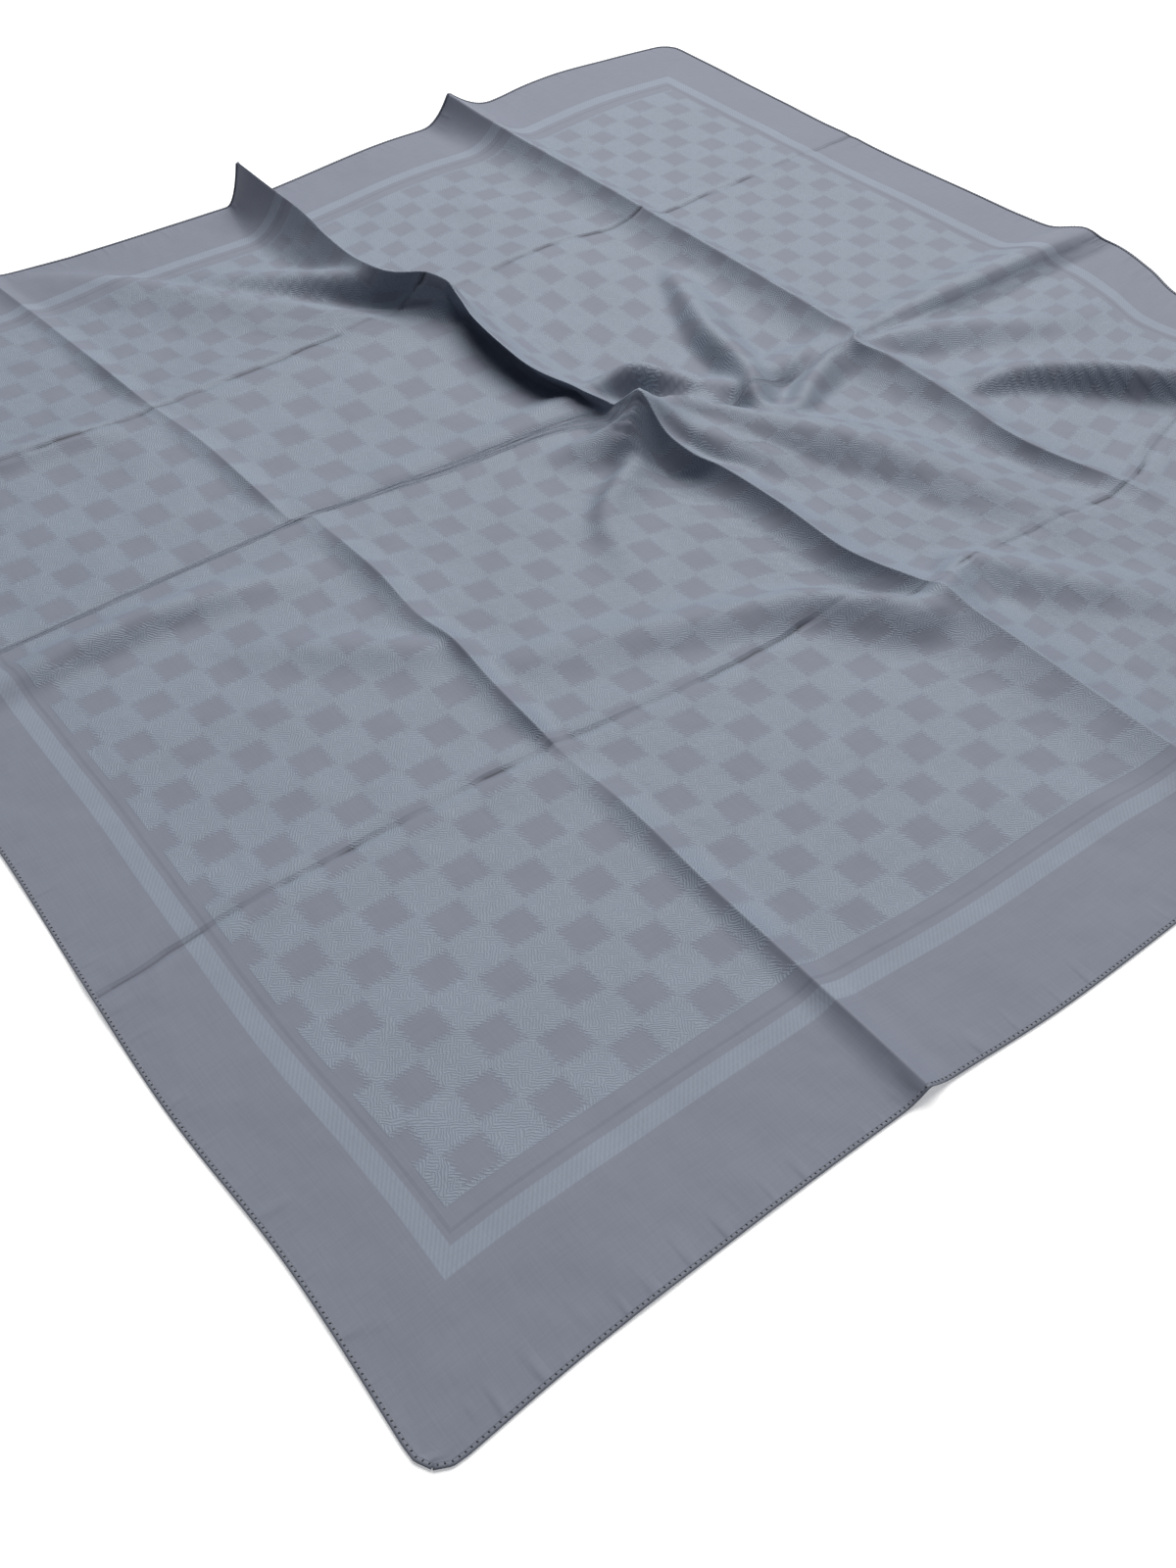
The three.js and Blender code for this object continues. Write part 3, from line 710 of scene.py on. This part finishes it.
def make_stitches(name, line, normals_on_line, turn):
    even, run, out, up = hem_frames(line, normals_on_line, turn)
    vertices, faces = [], []
    angles = np.linspace(0, 2 * np.pi, stitch_sides, endpoint=False)
    for n in range(1, len(even) - 1, 2):
        way = out[n] + stitch_slant * run[n]
        way /= np.linalg.norm(way)
        side = np.cross(up[n], way)
        middle = even[n] + stitch_out * out[n] + stitch_height * up[n]
        start = len(vertices)
        for place, width, rise in stitch_rings:
            centre = middle + place * stitch_length * way + rise * thread_width * up[n]
            for angle in angles:
                around = np.cos(angle) * side + np.sin(angle) * up[n]
                vertices.append(centre + width * thread_width / 2 * around)
        for k in range(len(stitch_rings) - 1):
            for m in range(stitch_sides):
                a = start + k * stitch_sides + m
                b = start + k * stitch_sides + (m + 1) % stitch_sides
                faces.append((a, a + stitch_sides, b + stitch_sides, b))
        end = start + (len(stitch_rings) - 1) * stitch_sides
        faces.append(tuple(range(start, start + stitch_sides)))
        faces.append(tuple(range(end + stitch_sides - 1, end - 1, -1)))
    placed = to_metres(np.array(vertices))
    placed[:, 2] = np.maximum(placed[:, 2], 0)
    return mesh_object("stitches_" + name, placed.tolist(), faces)


stitches = [make_stitches(name, *edge[:3]) for name, edge in edges.items()]
faces_each = stitch_sides * (len(stitch_rings) - 1) + 2
print("stitches", [len(row.data.polygons) // faces_each for row in stitches])

# %% [markdown]
# ## Finishes
#
# Two helpers serve every finish. One turns a colour, as a hex number from a paint program, into the linear
# light that the renderer counts in. The other adds a node, with its settings and with what feeds its inputs.


# %% Helpers for finishes
def linear(hex_colour):
    channels = [int(hex_colour[n:n + 2], 16) / 255 for n in (1, 3, 5)]
    return (*[c / 12.92 if c <= 0.04045 else ((c + 0.055) / 1.055) ** 2.4 for c in channels], 1)


def add(tree, kind, settings=(), inputs=()):
    """Adds a node. An input takes a number, a colour, a socket, or a node, meaning its first output."""
    made = tree.nodes.new(kind)
    for name, value in dict(settings).items():
        setattr(made, name, value)
    for name, value in dict(inputs).items():
        if isinstance(value, bpy.types.Node):
            value = value.outputs[0]
        if isinstance(value, bpy.types.NodeSocket):
            tree.links.new(value, made.inputs[name])
        else:
            made.inputs[name].default_value = value
    return made


def new_finish(name):
    """An empty node tree for a finish, and its surface shader joined to the output."""
    finish = bpy.data.materials.new(name)
    finish.use_nodes = True
    tree = finish.node_tree
    tree.nodes.clear()
    surface = add(tree, "ShaderNodeBsdfPrincipled")
    add(tree, "ShaderNodeOutputMaterial", {}, {"Surface": surface})
    return finish, tree, surface


# %% [markdown]
# ## The jacquard
#
# The cloth is a fine polyester jacquard. The loom lifts the warp thread by thread, so one piece of cloth can
# hold smooth satin, plain weave and a crinkled ground side by side, all of the same yarn. That is why the
# pattern shows more as a change of sheen and surface than as a change of colour.
#
# First the pattern needs its two numbers: millimetres across and along the cut square, from the map. Two
# kinds of node come again and again, so their names are kept short.

# %% Jacquard: where on the cut square
jacquard, tree, jacquard_surface = new_finish("polyester_jacquard")
math = "ShaderNodeMath"
mix = "ShaderNodeMix"
place = add(tree, "ShaderNodeSeparateXYZ", {}, {0: add(tree, "ShaderNodeUVMap", {"uv_map": "cut"})})
across_mm = add(tree, math, {"operation": "MULTIPLY"}, {0: place.outputs[0], 1: cut_width})
along_mm = add(tree, math, {"operation": "MULTIPLY"}, {0: place.outputs[1], 1: cut_length})
cloth_place = add(tree, "ShaderNodeCombineXYZ", {}, {0: across_mm, 1: along_mm})

# %% [markdown]
# The chequer has square cells of 19.3 mm. A cell is dark where its column and its row are both even or both
# odd. The place inside the cell, counted from its middle, then draws the patch: a square of smooth satin
# whose edges step in and out like threads that end one after another. A leaning wave adds barbs to its edges,
# for the threads that float on past them.

# %% Jacquard: the chequer of satin patches
cell = 19.3
field_across = 54.35
field_along = 71.15
cell_columns = 41
cell_rows = 39
patch_half_width = 7.1
patch_half_length = 6.6
tooth_depth = 1.5
tooth_pitch = 3.1
edge_softness = 0.45
barb_depth = 2.6
barb_pitch = 1.5
barb_lean = -35
# A wave texture of scale 1 repeats after this many units
wave_unit = 0.314

inside = []
whole = []
for distance, start, offset in ((across_mm, field_across, 0.5), (along_mm, field_along, 0)):
    shift = offset - start / cell
    shifted = add(tree, math, {"operation": "MULTIPLY_ADD"}, {0: distance, 1: 1 / cell, 2: shift})
    whole.append(add(tree, math, {"operation": "FLOOR"}, {0: shifted}))
    part = add(tree, math, {"operation": "FRACT"}, {0: shifted})
    inside.append(add(tree, math, {"operation": "MULTIPLY_ADD"}, {0: part, 1: cell, 2: -cell / 2}))
both = add(tree, math, {"operation": "ADD"}, {0: whole[0], 1: whole[1]})
odd = add(tree, math, {"operation": "FLOORED_MODULO"}, {0: both, 1: 2})

edges_of_patch = []
for n, half_size in ((0, patch_half_width), (1, patch_half_length)):
    tooth_place = add(tree, math, {"operation": "MULTIPLY"}, {0: inside[1 - n], 1: 1 / tooth_pitch})
    tooth = add(tree, math, {"operation": "FRACT"}, {0: tooth_place})
    reach = add(tree, math, {"operation": "MULTIPLY_ADD"}, {0: tooth, 1: tooth_depth, 2: half_size})
    off_middle = add(tree, math, {"operation": "ABSOLUTE"}, {0: inside[n]})
    spare = add(tree, math, {"operation": "SUBTRACT"}, {0: reach, 1: off_middle})
    edges_of_patch.append(spare)
spare_both = add(tree, math, {"operation": "MINIMUM"}, {0: edges_of_patch[0], 1: edges_of_patch[1]})
leaning = add(
    tree, "ShaderNodeVectorRotate", {"rotation_type": "Z_AXIS"},
    {"Vector": cloth_place, "Angle": radians(barb_lean)},
)
barbs = add(
    tree, "ShaderNodeTexWave", {"wave_type": "BANDS", "bands_direction": "X"},
    {
        "Vector": leaning, "Scale": wave_unit / barb_pitch, "Distortion": 2.5, "Detail": 1,
        "Detail Scale": 0.3,
    },
).outputs["Fac"]
barbed = add(tree, math, {"operation": "MULTIPLY_ADD"}, {0: barbs, 1: barb_depth, 2: spare_both})
patch_shape = add(
    tree, "ShaderNodeMapRange", {"interpolation_type": "SMOOTHSTEP"},
    {"Value": barbed, "From Min": barb_depth / 2 - edge_softness, "From Max": barb_depth / 2 + edge_softness},
)
patch = add(tree, math, {"operation": "MULTIPLY"}, {0: patch_shape, 1: odd})
print("chequer of", cell_columns, "x", cell_rows, "cells of", cell, "mm")

# %% [markdown]
# Round the field runs a frame: a satin band with slanting ribs, then a gap of plain weave with one dark line
# in it, then the field. How far a place lies in from the nearest edges tells which of them it is in.

# %% Jacquard: the frame, the band and the field
band_across = (39.0, 47.5)
band_along = (49.5, 58.5)
line_across = 50.6
line_along = 63.0
line_half_width = 0.8

from_edges = []
for distance, size in ((across_mm, cut_width), (along_mm, cut_length)):
    other = add(tree, math, {"operation": "SUBTRACT"}, {0: size, 1: distance})
    from_edges.append(add(tree, math, {"operation": "MINIMUM"}, {0: distance, 1: other}))


def inset(across_limit, along_limit, softness):
    """1 where a place lies further in than both limits, with a soft step."""
    spare = [
        add(tree, math, {"operation": "SUBTRACT"}, {0: from_edges[n], 1: limit})
        for n, limit in enumerate((across_limit, along_limit))
    ]
    least = add(tree, math, {"operation": "MINIMUM"}, {0: spare[0], 1: spare[1]})
    return add(
        tree, "ShaderNodeMapRange", {"interpolation_type": "SMOOTHSTEP"},
        {"Value": least, "From Min": -softness, "From Max": softness},
    )


in_band = inset(band_across[0], band_along[0], 0.4)
past_band = inset(band_across[1], band_along[1], 0.4)
in_line = inset(line_across - line_half_width, line_along - line_half_width, 0.3)
past_line = inset(line_across + line_half_width, line_along + line_half_width, 0.3)
in_field = inset(field_across, field_along, 0.4)
band = add(tree, math, {"operation": "SUBTRACT"}, {0: in_band, 1: past_band})
dark_line = add(tree, math, {"operation": "SUBTRACT"}, {0: in_line, 1: past_line})
patch_in_field = add(tree, math, {"operation": "MULTIPLY"}, {0: patch, 1: in_field})
not_patch = add(tree, math, {"operation": "SUBTRACT"}, {0: 1, 1: patch})
ground = add(tree, math, {"operation": "MULTIPLY"}, {0: not_patch, 1: in_field})

# %% [markdown]
# The crinkled ground comes from floats of uneven length. It looks like ripples in sand, about 0.6 mm apart on
# the real cloth, and drawn at 1.2 mm here so that the picture can show them. The ripples lean one way in some
# places and the other way in others, as a slow noise chooses, which is what makes the ground sparkle.

# %% Jacquard: the crinkled ground
ripple_pitch = 1.2
ripple_leans = (38, -52)
leans_per_mm = 0.16

ripples = []
for lean in ripple_leans:
    turned = add(
        tree, "ShaderNodeVectorRotate", {"rotation_type": "Z_AXIS"},
        {"Vector": cloth_place, "Angle": radians(lean)},
    )
    ripples.append(add(
        tree, "ShaderNodeTexWave", {"wave_type": "BANDS", "bands_direction": "X", "wave_profile": "SIN"},
        {
            "Vector": turned, "Scale": wave_unit / ripple_pitch, "Distortion": 9, "Detail": 2.5,
            "Detail Scale": 0.55, "Detail Roughness": 0.62,
        },
    ).outputs["Fac"])
lean_choice = add(
    tree, "ShaderNodeTexNoise", {"noise_dimensions": "2D"}, {"Vector": cloth_place, "Scale": leans_per_mm}
)
lean_mask = add(
    tree, "ShaderNodeMapRange", {"interpolation_type": "SMOOTHSTEP"},
    {"Value": lean_choice, "From Min": 0.46, "From Max": 0.54},
)
ripple = add(tree, mix, {"data_type": "FLOAT"}, {0: lean_mask, 2: ripples[0], 3: ripples[1]})

# %% [markdown]
# The band's ribs are satin twill lines 1.7 mm apart that slant over it. The border and the gap are plain
# weave: its threads, 0.25 mm apart, are drawn at 1 mm, as faint streaks both ways.

# %% Jacquard: ribs and plain weave
rib_pitch = 1.7
rib_lean = 40
thread_drawn = 1.0
streak_length = 14

slanted = add(
    tree, "ShaderNodeVectorRotate", {"rotation_type": "Z_AXIS"},
    {"Vector": cloth_place, "Angle": radians(rib_lean)},
)
rib = add(
    tree, "ShaderNodeTexWave", {"wave_type": "BANDS", "bands_direction": "X"},
    {"Vector": slanted, "Scale": wave_unit / rib_pitch, "Distortion": 0.6, "Detail": 1},
).outputs["Fac"]
streaks = []
for stretch in ((1 / thread_drawn, 1 / streak_length, 1), (1 / streak_length, 1 / thread_drawn, 1)):
    stretched = add(tree, "ShaderNodeVectorMath", {"operation": "MULTIPLY"}, {0: cloth_place, 1: stretch})
    streaks.append(add(
        tree, "ShaderNodeTexNoise", {"noise_dimensions": "2D"},
        {"Vector": stretched, "Scale": 1, "Detail": 1, "Roughness": 0.4},
    ).outputs["Fac"])
weave = add(tree, math, {"operation": "ADD"}, {0: streaks[0], 1: streaks[1]})

# %% [markdown]
# The two cross creases were pressed hard but hardly lift the cloth. They show as a fine groove that wanders a
# little off its line: a bump dents it, and painted shade darkens its line in the base colour. It is firm in
# the plain border. In the field it is worn in places, as a slow noise chooses, and deeper in the satin
# patches, where its painted shade looks like a row of thin dark dashes.

# %% Jacquard: the pressed grooves and their painted shade
groove_wander = 4
wanders_per_mm = 0.03
groove_reach = 2.8
groove_sharpness = 3
# How much darker the painted shade makes the middle of a groove's line
painted_groove_shade = -0.5
worn_per_mm = 0.024
share_when_worn = 0.3
share_in_border = 0.9
more_in_satin = 0.15

wobble = add(
    tree, "ShaderNodeTexNoise", {"noise_dimensions": "2D"}, {"Vector": cloth_place, "Scale": wanders_per_mm}
)
wobbled = add(tree, math, {"operation": "MULTIPLY_ADD"}, {0: wobble, 1: groove_wander, 2: along_mm})
grooves = []
for cross in (first_cross, last_cross):
    past = add(tree, math, {"operation": "SUBTRACT"}, {0: wobbled, 1: cross + groove_wander / 2})
    away = add(tree, math, {"operation": "ABSOLUTE"}, {0: past})
    grooves.append(add(
        tree, "ShaderNodeMapRange", {}, {"Value": away, "From Max": groove_reach, "To Min": 1, "To Max": 0}
    ))
groove = add(tree, math, {"operation": "ADD"}, {0: grooves[0], 1: grooves[1]})
worn = add(
    tree, "ShaderNodeTexNoise", {"noise_dimensions": "2D"}, {"Vector": cloth_place, "Scale": worn_per_mm}
)
worn_share = add(
    tree, "ShaderNodeMapRange", {},
    {"Value": worn, "From Min": 0.4, "From Max": 0.56, "To Min": share_when_worn, "To Max": 1},
)
plain_share = add(
    tree, math, {"operation": "MULTIPLY_ADD"}, {0: in_band, 1: -share_in_border, 2: share_in_border}
)
firm_share = add(tree, math, {"operation": "MAXIMUM"}, {0: worn_share, 1: plain_share})
groove_share = add(
    tree, math, {"operation": "MULTIPLY_ADD"}, {0: patch_in_field, 1: more_in_satin, 2: firm_share}
)
pressed_in = add(tree, math, {"operation": "MULTIPLY"}, {0: groove, 1: groove_share})
# Painted shade: the groove's line is darkened in the base colour, standing for the shade in the crease.
painted_groove_line = add(tree, math, {"operation": "POWER"}, {0: pressed_in, 1: groove_sharpness})
painted_groove_tone = add(tree, math, {"operation": "MULTIPLY_ADD"}, {0: painted_groove_line, 1: painted_groove_shade, 2: 1})

# %% [markdown]
# The hem's stitches draw the cloth into short puckers, which run in from the edge and die out within 2 cm.
# Handling leaves the rest of it slightly uneven. Both are too low to need true shape, so they are a bump: one
# noise stretched away from each pair of hems, and one that is the same both ways.

# %% Jacquard: puckers beside the hems, and handling
pucker_pitch = 9
pucker_length = 40
pucker_reach = 18
pucker_share = 0.35
handling_size = 28
handling_share = 0.8
uneven_depth = 1.2 * MM

puckers = []
stretches = ((1 / pucker_length, 1 / pucker_pitch, 1), (1 / pucker_pitch, 1 / pucker_length, 1))
for n, stretch in enumerate(stretches):
    stretched = add(tree, "ShaderNodeVectorMath", {"operation": "MULTIPLY"}, {0: cloth_place, 1: stretch})
    pulled = add(
        tree, "ShaderNodeTexNoise", {"noise_dimensions": "2D"}, {"Vector": stretched, "Scale": 1, "Detail": 1}
    )
    sparse = add(
        tree, "ShaderNodeMapRange", {"interpolation_type": "SMOOTHSTEP"},
        {"Value": pulled, "From Min": 0.5, "From Max": 0.8, "To Max": pucker_share},
    )
    fading = add(
        tree, "ShaderNodeMapRange", {},
        {"Value": from_edges[n], "From Max": pucker_reach, "To Min": 1, "To Max": 0},
    )
    puckers.append(add(tree, math, {"operation": "MULTIPLY"}, {0: sparse, 1: fading}))
both_puckers = add(tree, math, {"operation": "ADD"}, {0: puckers[0], 1: puckers[1]})
handling = add(
    tree, "ShaderNodeTexNoise", {"noise_dimensions": "2D"},
    {"Vector": cloth_place, "Scale": 1 / handling_size, "Detail": 1.5},
)
uneven = add(tree, math, {"operation": "MULTIPLY_ADD"}, {0: handling, 1: handling_share, 2: both_puckers})

# %% [markdown]
# Now the colours. They are blue greys close together: the ground and the band are the lightest, and the satin
# patches and the border share a darker one with a touch of mauve. A slow mottle of a few per cent keeps large
# parts from looking printed, and painted shade darkens the grooves' line.

# %% Jacquard: colour
ground_colour = linear("#838d9c")
ripple_colour = linear("#737d8c")
patch_colour = linear("#757a89")
border_colour = linear("#757a89")
band_colour = linear("#848d9c")
rib_colour = linear("#7e8695")
line_colour = linear("#6e7382")
mottles_per_mm = 0.02
mottle_share = 0.08
streak_share = 0.08
deepest_tone = 0.88

of_colours = {"data_type": "RGBA"}
ground_mix = add(tree, mix, of_colours, {0: ripple, 6: ripple_colour, 7: ground_colour}).outputs[2]
band_mix = add(tree, mix, of_colours, {0: rib, 6: rib_colour, 7: band_colour}).outputs[2]
colour = border_colour
for share_here, colour_here in (
    (ground, ground_mix), (patch_in_field, patch_colour), (band, band_mix), (dark_line, line_colour),
):
    colour = add(tree, mix, of_colours, {0: share_here, 6: colour, 7: colour_here}).outputs[2]
mottle = add(
    tree, "ShaderNodeTexNoise", {"noise_dimensions": "2D"},
    {"Vector": cloth_place, "Scale": mottles_per_mm, "Detail": 3},
)
streak_tone = add(tree, math, {"operation": "MULTIPLY_ADD"}, {0: weave, 1: streak_share, 2: deepest_tone})
cloth_tone = add(tree, math, {"operation": "MULTIPLY_ADD"}, {0: mottle, 1: mottle_share, 2: streak_tone})
# The cloth's own tone, times the painted shade of the grooves
tone_with_painted_groove_shade = add(tree, math, {"operation": "MULTIPLY"}, {0: cloth_tone, 1: painted_groove_tone})
colour_with_painted_groove_shade = add(tree, "ShaderNodeVectorMath", {"operation": "SCALE"}, {0: colour, "Scale": tone_with_painted_groove_shade})
tree.links.new(colour_with_painted_groove_shade.outputs[0], jacquard_surface.inputs["Base Color"])

# %% [markdown]
# Last the surface. The loops of the crinkled ground catch the light wherever it comes from, so the ground
# gets the lower roughness, and the flat weaves beside it stay duller. The relief is three bumps, one on the
# other: the uneven cloth, the grooves, and the weave, in which the ground stands about a tenth of a
# millimetre above the patches, with its ripples on it. Polyester has a refractive index near 1.54. A little
# sheen gives the soft light edge that thin cloth shows where it turns away.

# %% Jacquard: roughness, relief and sheen
satin_roughness = 0.72
ground_roughness = 0.64
weave_strength = 0.5
weave_depth = 0.2 * MM
groove_depth = 0.8 * MM
ground_lift = 0.4
rib_lift = 0.35
thread_lift = 0.25

roughness = add(
    tree, "ShaderNodeMapRange", {}, {"Value": ground, "To Min": satin_roughness, "To Max": ground_roughness}
)
tree.links.new(roughness.outputs[0], jacquard_surface.inputs["Roughness"])
rippled = add(tree, math, {"operation": "ADD"}, {0: ripple, 1: ground_lift})
in_ground = add(tree, math, {"operation": "MULTIPLY"}, {0: ground, 1: rippled})
ribbed = add(tree, math, {"operation": "MULTIPLY"}, {0: band, 1: rib})
with_ribs = add(tree, math, {"operation": "MULTIPLY_ADD"}, {0: ribbed, 1: rib_lift, 2: in_ground})
relief = add(tree, math, {"operation": "MULTIPLY_ADD"}, {0: weave, 1: thread_lift, 2: with_ribs})
uneven_cloth = add(tree, "ShaderNodeBump", {}, {"Distance": uneven_depth, "Height": uneven})
pressed_line = add(
    tree, "ShaderNodeBump", {"invert": True},
    {"Distance": groove_depth, "Height": pressed_in, "Normal": uneven_cloth},
)
bump = add(
    tree, "ShaderNodeBump", {},
    {"Strength": weave_strength, "Distance": weave_depth, "Height": relief, "Normal": pressed_line},
)
tree.links.new(bump.outputs[0], jacquard_surface.inputs["Normal"])
for socket, value in {
    "IOR": 1.54, "Sheen Weight": 0.06, "Sheen Roughness": 0.45, "Sheen Tint": linear("#dfe6f0"),
}.items():
    jacquard_surface.inputs[socket].default_value = value
cloth.data.materials.append(jacquard)

# %% [markdown]
# ## Hem and thread
#
# The roll is the plain border's cloth turned over twice. It has the border's hue, painted darker as shade
# because the tight turns keep the light out, and a fine grain stands for its threads. The sewing thread is
# spun polyester in dark grey: dull, with lighter patches painted on its twist as a highlight where it catches
# a little light.

# %% Finish of the rolled hems
grains_per_metre = 900
grain_depth = 0.2 * MM

rolled, tree, rolled_surface = new_finish("rolled_polyester_hem")
where = add(tree, "ShaderNodeTexCoord").outputs["Object"]
hem_grain = add(
    tree, "ShaderNodeTexNoise", {},
    {"Vector": where, "Scale": grains_per_metre, "Detail": 2, "Roughness": 0.6},
).outputs["Fac"]
# Painted shade: the roll's colour is the border's hue made darker, as the shade inside its tight turns.
hem_colour_with_painted_shade = add(
    tree, mix, of_colours, {0: hem_grain, 6: linear("#5c616e"), 7: linear("#6e7380")}
).outputs[2]
tree.links.new(hem_colour_with_painted_shade, rolled_surface.inputs["Base Color"])
hem_bump = add(
    tree, "ShaderNodeBump", {}, {"Strength": weave_strength, "Distance": grain_depth, "Height": hem_grain}
)
tree.links.new(hem_bump.outputs[0], rolled_surface.inputs["Normal"])
for socket, value in {"Roughness": 0.6, "IOR": 1.54, "Sheen Weight": 0.2}.items():
    rolled_surface.inputs[socket].default_value = value
for hem in hems:
    hem.data.materials.append(rolled)

# %% Finish of the sewing thread
twists_per_metre = 2500

thread, tree, thread_surface = new_finish("spun_polyester_thread")
where = add(tree, "ShaderNodeTexCoord").outputs["Object"]
# Painted highlight: the thread is lighter in patches along its twist, where the twist would catch a little
# light.
painted_twist_highlight = add(
    tree, "ShaderNodeTexNoise", {}, {"Vector": where, "Scale": twists_per_metre, "Detail": 1}
).outputs["Fac"]
thread_colour_with_painted_highlight = add(
    tree, mix, of_colours, {0: painted_twist_highlight, 6: linear("#33373c"), 7: linear("#50555c")}
).outputs[2]
tree.links.new(thread_colour_with_painted_highlight, thread_surface.inputs["Base Color"])
for socket, value in {"Roughness": 0.7, "IOR": 1.54}.items():
    thread_surface.inputs[socket].default_value = value
for row in stitches:
    row.data.materials.append(thread)

# %% [markdown]
# ## Floor, light and camera
#
# The scarf lies on a white floor under soft studio light. The photo's floor is so bright that only the
# deepest shadow shows on it, so the paint here glows a little as well, which real paint doesn't. The main
# light stands behind the scarf and to the right, so that the flanks that face the camera fall into shade. A
# pale blue sky fills the shadows.

# %% White floor
half_floor = 2
floor_drop = 0.4 * MM
floor_mesh = bpy.data.meshes.new("floor")
floor_mesh.from_pydata(
    [(-half_floor, -half_floor, -floor_drop), (half_floor, -half_floor, -floor_drop),
     (half_floor, half_floor, -floor_drop), (-half_floor, half_floor, -floor_drop)],
    [], [(0, 1, 2, 3)],
)
floor = bpy.data.objects.new("floor", floor_mesh)
bpy.context.scene.collection.objects.link(floor)
paint, tree, paint_surface = new_finish("matt_white_paint")
paint_surface.inputs["Base Color"].default_value = linear("#f7f7f7")
paint_surface.inputs["Roughness"].default_value = 0.9
paint_surface.inputs["Emission Color"].default_value = linear("#ffffff")
paint_surface.inputs["Emission Strength"].default_value = 0.35
floor.data.materials.append(paint)


# %% Soft light
def area_light(name, place, aim, size, power, colour):
    light = bpy.data.lights.new(name, "AREA")
    light.shape = "RECTANGLE"
    light.size, light.size_y = size
    light.energy = power
    light.color = colour
    lamp = bpy.data.objects.new(name, light)
    lamp.location = place
    lamp.rotation_euler = (Vector(aim) - Vector(place)).to_track_quat("-Z", "Y").to_euler()
    bpy.context.scene.collection.objects.link(lamp)
    return lamp


light_place = (1.9, 1.5, 3.6)
light_aim = (0.1, 0.05, 0)
light_size = (4, 4)
light_power = 300
warm_white = (1, 0.99, 0.97)
sky_strength = 0.085

area_light("window_light", light_place, light_aim, light_size, light_power, warm_white)
world = bpy.data.worlds.new("pale_sky")
world.use_nodes = True
sky = world.node_tree.nodes["Background"]
sky.inputs[0].default_value = linear("#d3def6")
sky.inputs[1].default_value = sky_strength
bpy.context.scene.world = world
bpy.context.scene.view_settings.view_transform = "Standard"

# %% [markdown]
# The camera stands half a metre above the table, near the corner that points at it, and looks down by about
# 47 degrees. It leans by less than a degree, as a camera held by hand does.

# %% Camera
camera_place = (-0.4722, -0.5805, 0.512)
camera_heading = radians(37.7)
camera_down = radians(47.1)
camera_roll = radians(-0.87)
camera_lens = 35.1

ahead = Vector((sin(camera_heading), cos(camera_heading), 0))
level_right = Vector((cos(camera_heading), -sin(camera_heading), 0))
level_up = sin(camera_down) * ahead + Vector((0, 0, cos(camera_down)))
right = cos(camera_roll) * level_right + sin(camera_roll) * level_up
up = cos(camera_roll) * level_up - sin(camera_roll) * level_right
camera = bpy.data.objects.new("camera", bpy.data.cameras.new("camera"))
camera.data.lens = camera_lens
camera.data.clip_start = 0.01
camera_turn = Matrix((right, up, right.cross(up))).transposed().to_4x4()
camera.matrix_world = Matrix.Translation(camera_place) @ camera_turn
bpy.context.scene.collection.objects.link(camera)
bpy.context.scene.camera = camera

# %% [markdown]
# ## Sizes
#
# The box of the finished look should differ from the box of the solid part by 2 or 3 mm at most, which is what
# the thinner cloth and the rounded corners take away.

# %% Update the scene
bpy.context.view_layer.update()
